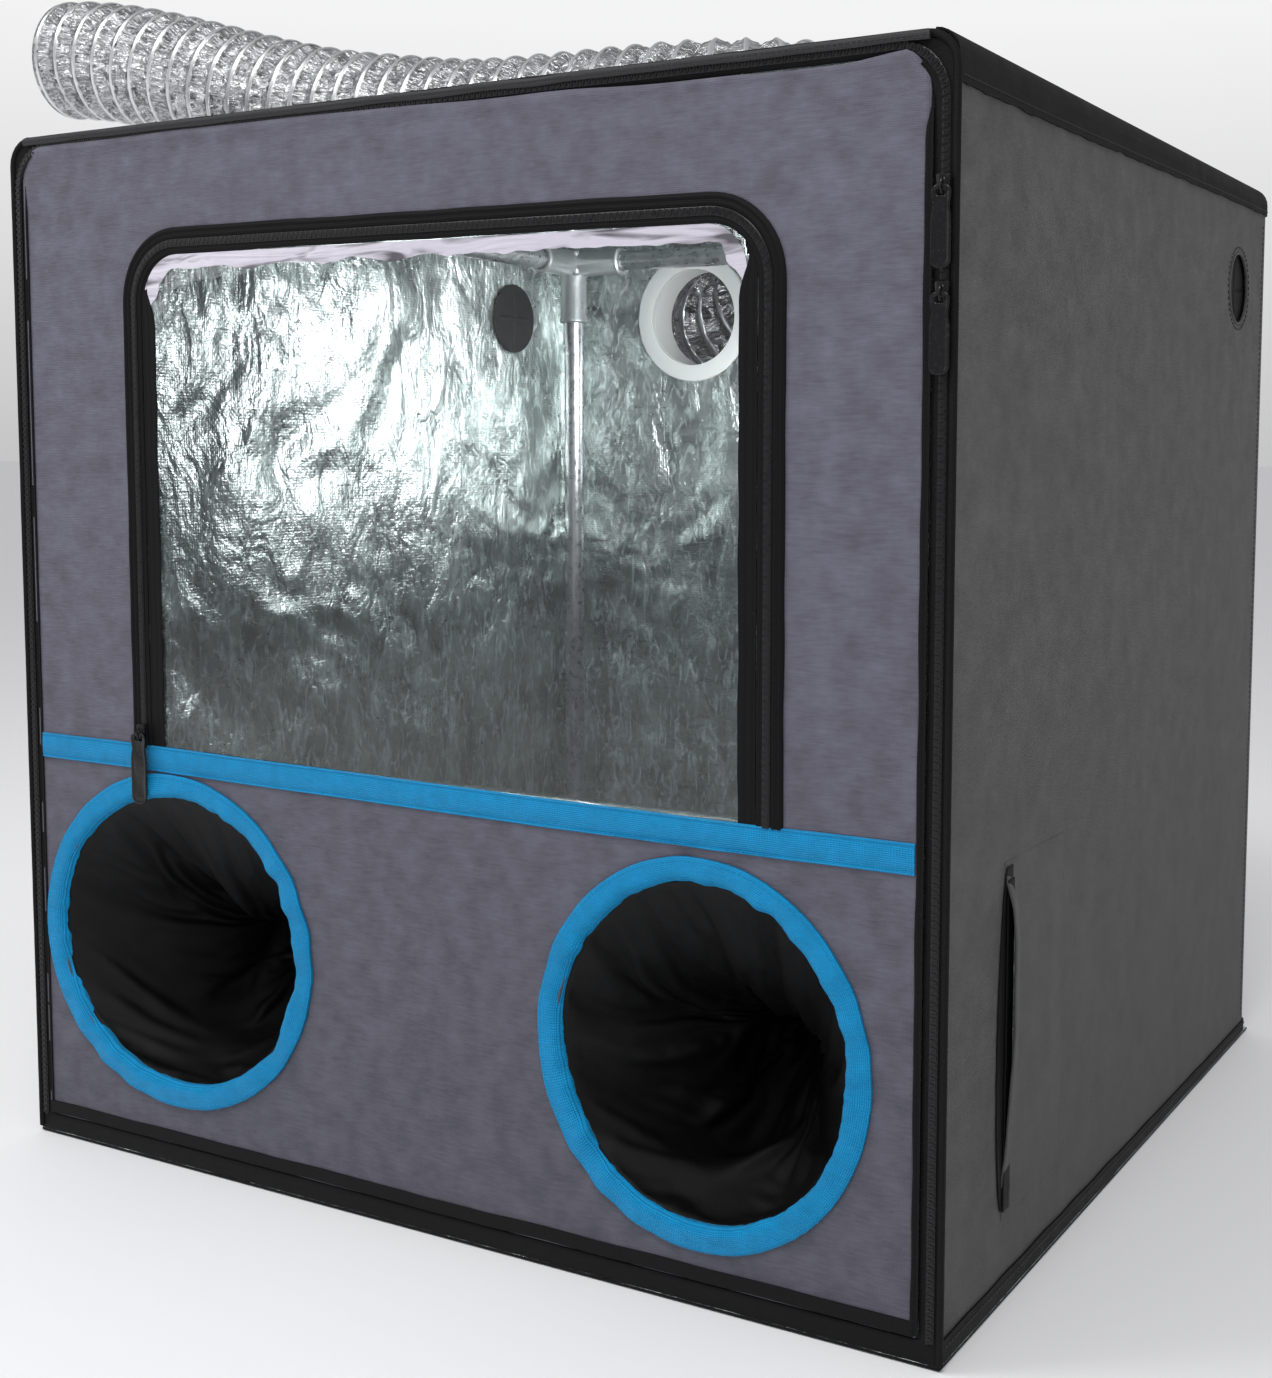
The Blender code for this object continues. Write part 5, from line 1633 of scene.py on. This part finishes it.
class TENT_OT_exhaust(bpy.types.Operator):
    """White exhaust flange, its inside ring and the steel clamp that holds the duct"""

    bl_idname = "tent.exhaust"
    bl_label = "Exhaust flange"

    def execute(self, context):
        low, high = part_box("duct_flange")
        centre = Vector(((low.x + high.x) / 2, (low.z + high.z) / 2))
        ring_low, ring_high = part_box("duct_flange_ring")
        plate = (high.x - low.x) / 2
        back = BACK_WALL + 0.0004
        profile = [
            (SPIGOT_BORE, back), (SPIGOT_BORE, high.y), (0.0458, high.y), (0.0466, high.y - 0.0008),
            (0.0470, high.y - 0.003), (0.0470, back + 0.0042), (0.0486, back + 0.0030),
            (plate - 0.0022, back + 0.0026), (plate - 0.0006, back + 0.002), (plate, back + 0.0010),
            (plate, back),
        ]
        bm = spun_ring(centre, profile)
        for k in range(4):
            angle = math.pi / 4 + k * math.pi / 2
            at = Vector((centre.x + 0.0532 * math.cos(angle), back + 0.0028,
                         centre.y + 0.0532 * math.sin(angle)))
            turn = Matrix.Translation(at) @ Matrix.Rotation(math.pi / 2, 4, "X")
            bmesh.ops.create_cone(bm, cap_ends=True, segments=14, radius1=0.0026, radius2=0.0020,
                                  depth=0.0018, matrix=turn)
        make("exhaust_flange", bm, "root", ["white plastic"], ["duct_flange"])
        inner = [(SPIGOT_BORE, BACK_WALL - 0.0012), (SPIGOT_BORE, ring_low.y + 0.0004),
                 (0.0448, ring_low.y),
                 (plate - 0.001, ring_low.y), (plate, ring_low.y + 0.001), (plate, ring_high.y),
                 (0.0476, ring_high.y)]
        bm = spun_ring(centre, inner)
        make("exhaust_inner_ring", bm, "root", ["white plastic"], ["duct_flange_ring"])
        c_low, c_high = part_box("duct_clamp")
        inside = CLAMP_INSIDE
        band = [(inside, c_low.y), (inside, c_high.y), (inside + 0.0004, c_high.y),
                (inside + 0.0009, c_high.y - 0.0006), (inside + 0.0007, c_high.y - 0.0018),
                (inside + 0.0007, c_low.y + 0.0018), (inside + 0.0009, c_low.y + 0.0006),
                (inside + 0.0004, c_low.y)]
        bm = spun_ring(centre, band, 96)
        box_centre = Vector((centre.x, (c_low.y + c_high.y) / 2, c_low.z + 0.0034))
        housing = bmesh.ops.create_cube(bm, size=1.0)["verts"]
        bmesh.ops.scale(bm, vec=(0.013, c_high.y - c_low.y - 0.001, 0.0062), verts=housing)
        bmesh.ops.translate(bm, vec=box_centre, verts=housing)
        screw = Matrix.Translation(box_centre
                                   + Vector((0.0095, 0, -0.0006))) @ Matrix.Rotation(math.pi / 2, 4, "Y")
        bmesh.ops.create_cone(bm, cap_ends=True, segments=6, radius1=0.0026, radius2=0.0026, depth=0.006,
                              matrix=screw)
        for k in range(40):
            angle = 0.35 + k * 0.028 - math.pi / 2
            at = Vector((centre.x + (inside + 0.0009) * math.cos(angle), (c_low.y + c_high.y) / 2,
                         centre.y + (inside + 0.0009) * math.sin(angle)))
            turn = Matrix.Rotation(-angle, 3, "Y")
            add_box(bm, at, (0.0003, 0.006, 0.0006), turn)
        clamp = make("exhaust_clamp", bm, "root", ["pole steel"], ["duct_clamp"])
        soften(clamp, 0.0003)
        return {"FINISHED"}


def smooth_route(route, step):
    """Points a step apart on a smooth curve through the route's."""
    points = [Vector(p) for p in route]
    ends = [points[0] * 2 - points[1]] + points + [points[-1] * 2 - points[-2]]
    fine = []
    for k in range(1, len(ends) - 2):
        p0, p1, p2, p3 = ends[k - 1:k + 3]
        for i in range(24):
            t = i / 24
            fine.append(0.5 * (2 * p1 + (p2 - p0) * t + (2 * p0 - 5 * p1 + 4 * p2 - p3) * t * t
                               + (3 * p1 - p0 - 3 * p2 + p3) * t ** 3))
    fine.append(points[-1])
    marks = [0.0]
    for a, b in zip(fine, fine[1:]):
        marks.append(marks[-1] + (b - a).length)
    count = round(marks[-1] / step)
    even, k = [], 0
    for i in range(count + 1):
        want = marks[-1] * i / count
        while k < len(marks) - 2 and marks[k + 1] < want:
            k += 1
        share = (want - marks[k]) / max(marks[k + 1] - marks[k], 1e-9)
        even.append(fine[k].lerp(fine[k + 1], min(share, 1.0)))
    return even, marks[-1]


class TENT_OT_duct(bpy.types.Operator):
    """Foil exhaust duct over a coil of wire, from the back wall over the roof"""

    bl_idname = "tent.duct"
    bl_label = "Exhaust duct"

    def execute(self, context):
        look = context.scene.tent_duct
        turns = 10
        centres, reach = smooth_route(DUCT_ROUTE, look.pitch / turns)
        stations, sides = len(centres), 64
        ways = [(centres[min(k + 1, stations - 1)] - centres[max(k - 1, 0)]).normalized()
                for k in range(stations)]
        rights = [ways[0].cross(Vector((0, 0, 1))).normalized()]
        for way in ways[1:]:
            rights.append((rights[-1] - way * rights[-1].dot(way)).normalized())
        step = reach / (stations - 1)

        def place(station, side):
            angle = TAU * side / sides
            right, way = rights[station], ways[station]
            ray = right * math.cos(angle) + right.cross(way) * math.sin(angle)
            along = station * step
            turn = (along / look.pitch) % 1.0
            u = turn - round(turn)
            stretched = smooth(along, 0.80, 1.15)
            held = smooth(along, 0.012, 0.030) * (1 - smooth(along, reach - 0.006, reach - 0.001))
            valley = (1 - math.sqrt(max(1 - (2 * u) ** 2, 0.0))) * (0.0046 * (1 - stretched)) * held
            taut = (0.5 - 0.5 * math.cos(TAU * u)) * 0.0028 * stretched * held
            wire = look.wire * math.exp(-((u * look.pitch / 0.0016) ** 2))
            angle_place = look.radius * angle
            lean = angle_place + along * 0.8
            fold = ridge(lean, along * 0.45, 0.011, 3) * 0.5
            fold += ridge(angle_place - along, along, 0.007, 9) * 0.5
            wrap = smooth(math.sin(angle / 2), 0.0, 0.25)
            between = smooth(abs(u), 0.07, 0.18) * held
            dent = look.crumple * between * wrap * (fold - 0.25)
            radius = look.radius - look.wire - valley - taut + wire * held - max(dent, 0.0)
            return centres[station] + ray * radius

        bm = loft(stations, sides, place, caps=False, span=(reach, TAU * look.radius))
        tube = make("exhaust_duct", bm, "root", ["duct foil"], ["duct"], 32)
        thicken(tube, 0.0006)
        return {"FINISHED"}


class TENT_OT_stage(bpy.types.Operator):
    """Camera, floor, soft lights and the pale surroundings"""

    bl_idname = "tent.stage"
    bl_label = "Stage"

    def execute(self, context):
        scene = context.scene
        look = scene.tent_stage
        camera = bpy.data.objects.new("camera", bpy.data.cameras.new("camera"))
        scene.collection.objects.link(camera)
        camera.location = (0.6733, -1.1585, 0.4670)
        camera.rotation_euler = Euler((math.radians(84.847), math.radians(-0.130), math.radians(29.979)),
                                      "XYZ")
        camera.data.lens = 47.851
        camera.data.shift_x = -0.0473
        camera.data.shift_y = -0.0528
        camera.data.clip_start = 0.01
        scene.camera = camera
        scene.view_settings.view_transform = "Standard"

        bm, _ = grid(2, 2)
        bmesh.ops.scale(bm, vec=(look.reach * 2, look.reach * 2, 1.0), verts=bm.verts[:])
        bmesh.ops.translate(bm, vec=(0.0, 0.0, -0.0006), verts=bm.verts[:])
        mesh = bpy.data.meshes.new("floor")
        bm.to_mesh(mesh)
        bm.free()
        surface, nodes, shader = start("pale floor", 0.7)
        shader["Base Color"].default_value = shade(look.floor, 1.0)
        mesh.materials.append(surface)
        ground = bpy.data.objects.new("floor", mesh)
        scene.collection.objects.link(ground)

        lamps = [
            ("key", (0.7, -1.7, 2.6), (0.0, -0.2, 0.45), 1.2, 30.0),
            ("fill", (-2.4, -2.2, 1.5), (0.0, -0.2, 0.45), 1.6, 9.0),
            ("top", (-0.9, -1.0, 2.2), (-0.3, 0.0, 0.75), 0.8, 12.0),
        ]
        for name, at, aim, wide, power in lamps:
            lamp = bpy.data.lights.new(name, "AREA")
            lamp.shape = "DISK"
            lamp.size = wide
            lamp.energy = power
            holder = bpy.data.objects.new(name, lamp)
            scene.collection.objects.link(holder)
            holder.location = at
            holder.rotation_euler = (Vector(aim) - Vector(at)).to_track_quat("-Z", "Y").to_euler()
        inside = bpy.data.lights.new("inside", "AREA")
        inside.shape = "DISK"
        inside.size = 0.16
        inside.energy = 0.80
        holder = bpy.data.objects.new("inside", inside)
        scene.collection.objects.link(holder)
        holder.location = (-0.09, 0.19, 0.54)
        holder.rotation_euler = (0.0, math.radians(84), 0.0)
        holder.visible_camera = False
        holder.visible_transmission = False

        world = bpy.data.worlds.new("studio")
        scene.world = world
        world.use_nodes = True
        nodes = Nodes(world.node_tree)
        background = world.node_tree.nodes["Background"]
        rays = nodes.add("ShaderNodeLightPath").outputs
        soft = nodes.blend(rays["Is Glossy Ray"], (0.56, 0.56, 0.57, 1.0), (0.40, 0.40, 0.41, 1.0))
        background.inputs["Strength"].default_value = 1.0
        way = nodes.add("ShaderNodeTexCoord").outputs["Generated"]
        height = nodes.span(nodes.add("ShaderNodeSeparateXYZ", {0: way}).outputs[2], 0.0, 0.22)
        sky = nodes.blend(height, (0.56, 0.56, 0.565, 1.0), (0.90, 0.90, 0.905, 1.0))
        nodes.put(background.inputs["Color"], nodes.blend(rays["Is Camera Ray"], soft, sky))
        return {"FINISHED"}


class TENT_PT_panel(bpy.types.Panel):
    """Lists the tent's pieces and their settings"""

    bl_idname = "TENT_PT_panel"
    bl_label = "Printer enclosure tent"
    bl_space_type = "VIEW_3D"
    bl_region_type = "UI"
    bl_category = "Tent"

    def draw(self, context):
        for step in STEPS:
            self.layout.operator(step.bl_idname)
        for name in LOOKS:
            box = self.layout.box()
            look = getattr(context.scene, name)
            for label in look.bl_rna.properties.keys():
                if label not in ("rna_type", "name"):
                    box.prop(look, label)


STEPS = [
    TENT_OT_stage, TENT_OT_duct, TENT_OT_door, TENT_OT_surround, TENT_OT_door_zip, TENT_OT_window,
         TENT_OT_band,
    TENT_OT_arms, TENT_OT_walls, TENT_OT_ports, TENT_OT_side_flap, TENT_OT_frame_metal, TENT_OT_exhaust,
]
LOOKS = {
    "tent_cloth": TentCloth, "tent_window": TentWindow, "tent_webbing": TentWebbing, "tent_zips": TentZips,
    "tent_duct": TentDuct, "tent_frame": TentFrame, "tent_stage": TentStage,
}


def register():
    for kind in LOOKS.values():
        bpy.utils.register_class(kind)
    for name, kind in LOOKS.items():
        setattr(bpy.types.Scene, name, bpy.props.PointerProperty(type=kind))
    for step in STEPS:
        bpy.utils.register_class(step)
    bpy.utils.register_class(TENT_PT_panel)


def unregister():
    bpy.utils.unregister_class(TENT_PT_panel)
    for step in reversed(STEPS):
        bpy.utils.unregister_class(step)
    for name, kind in reversed(LOOKS.items()):
        delattr(bpy.types.Scene, name)
        bpy.utils.unregister_class(kind)


def main():
    register()
    for step in STEPS:
        getattr(bpy.ops.tent, step.bl_idname.split(".")[1])()


if __name__ == "__main__":
    main()
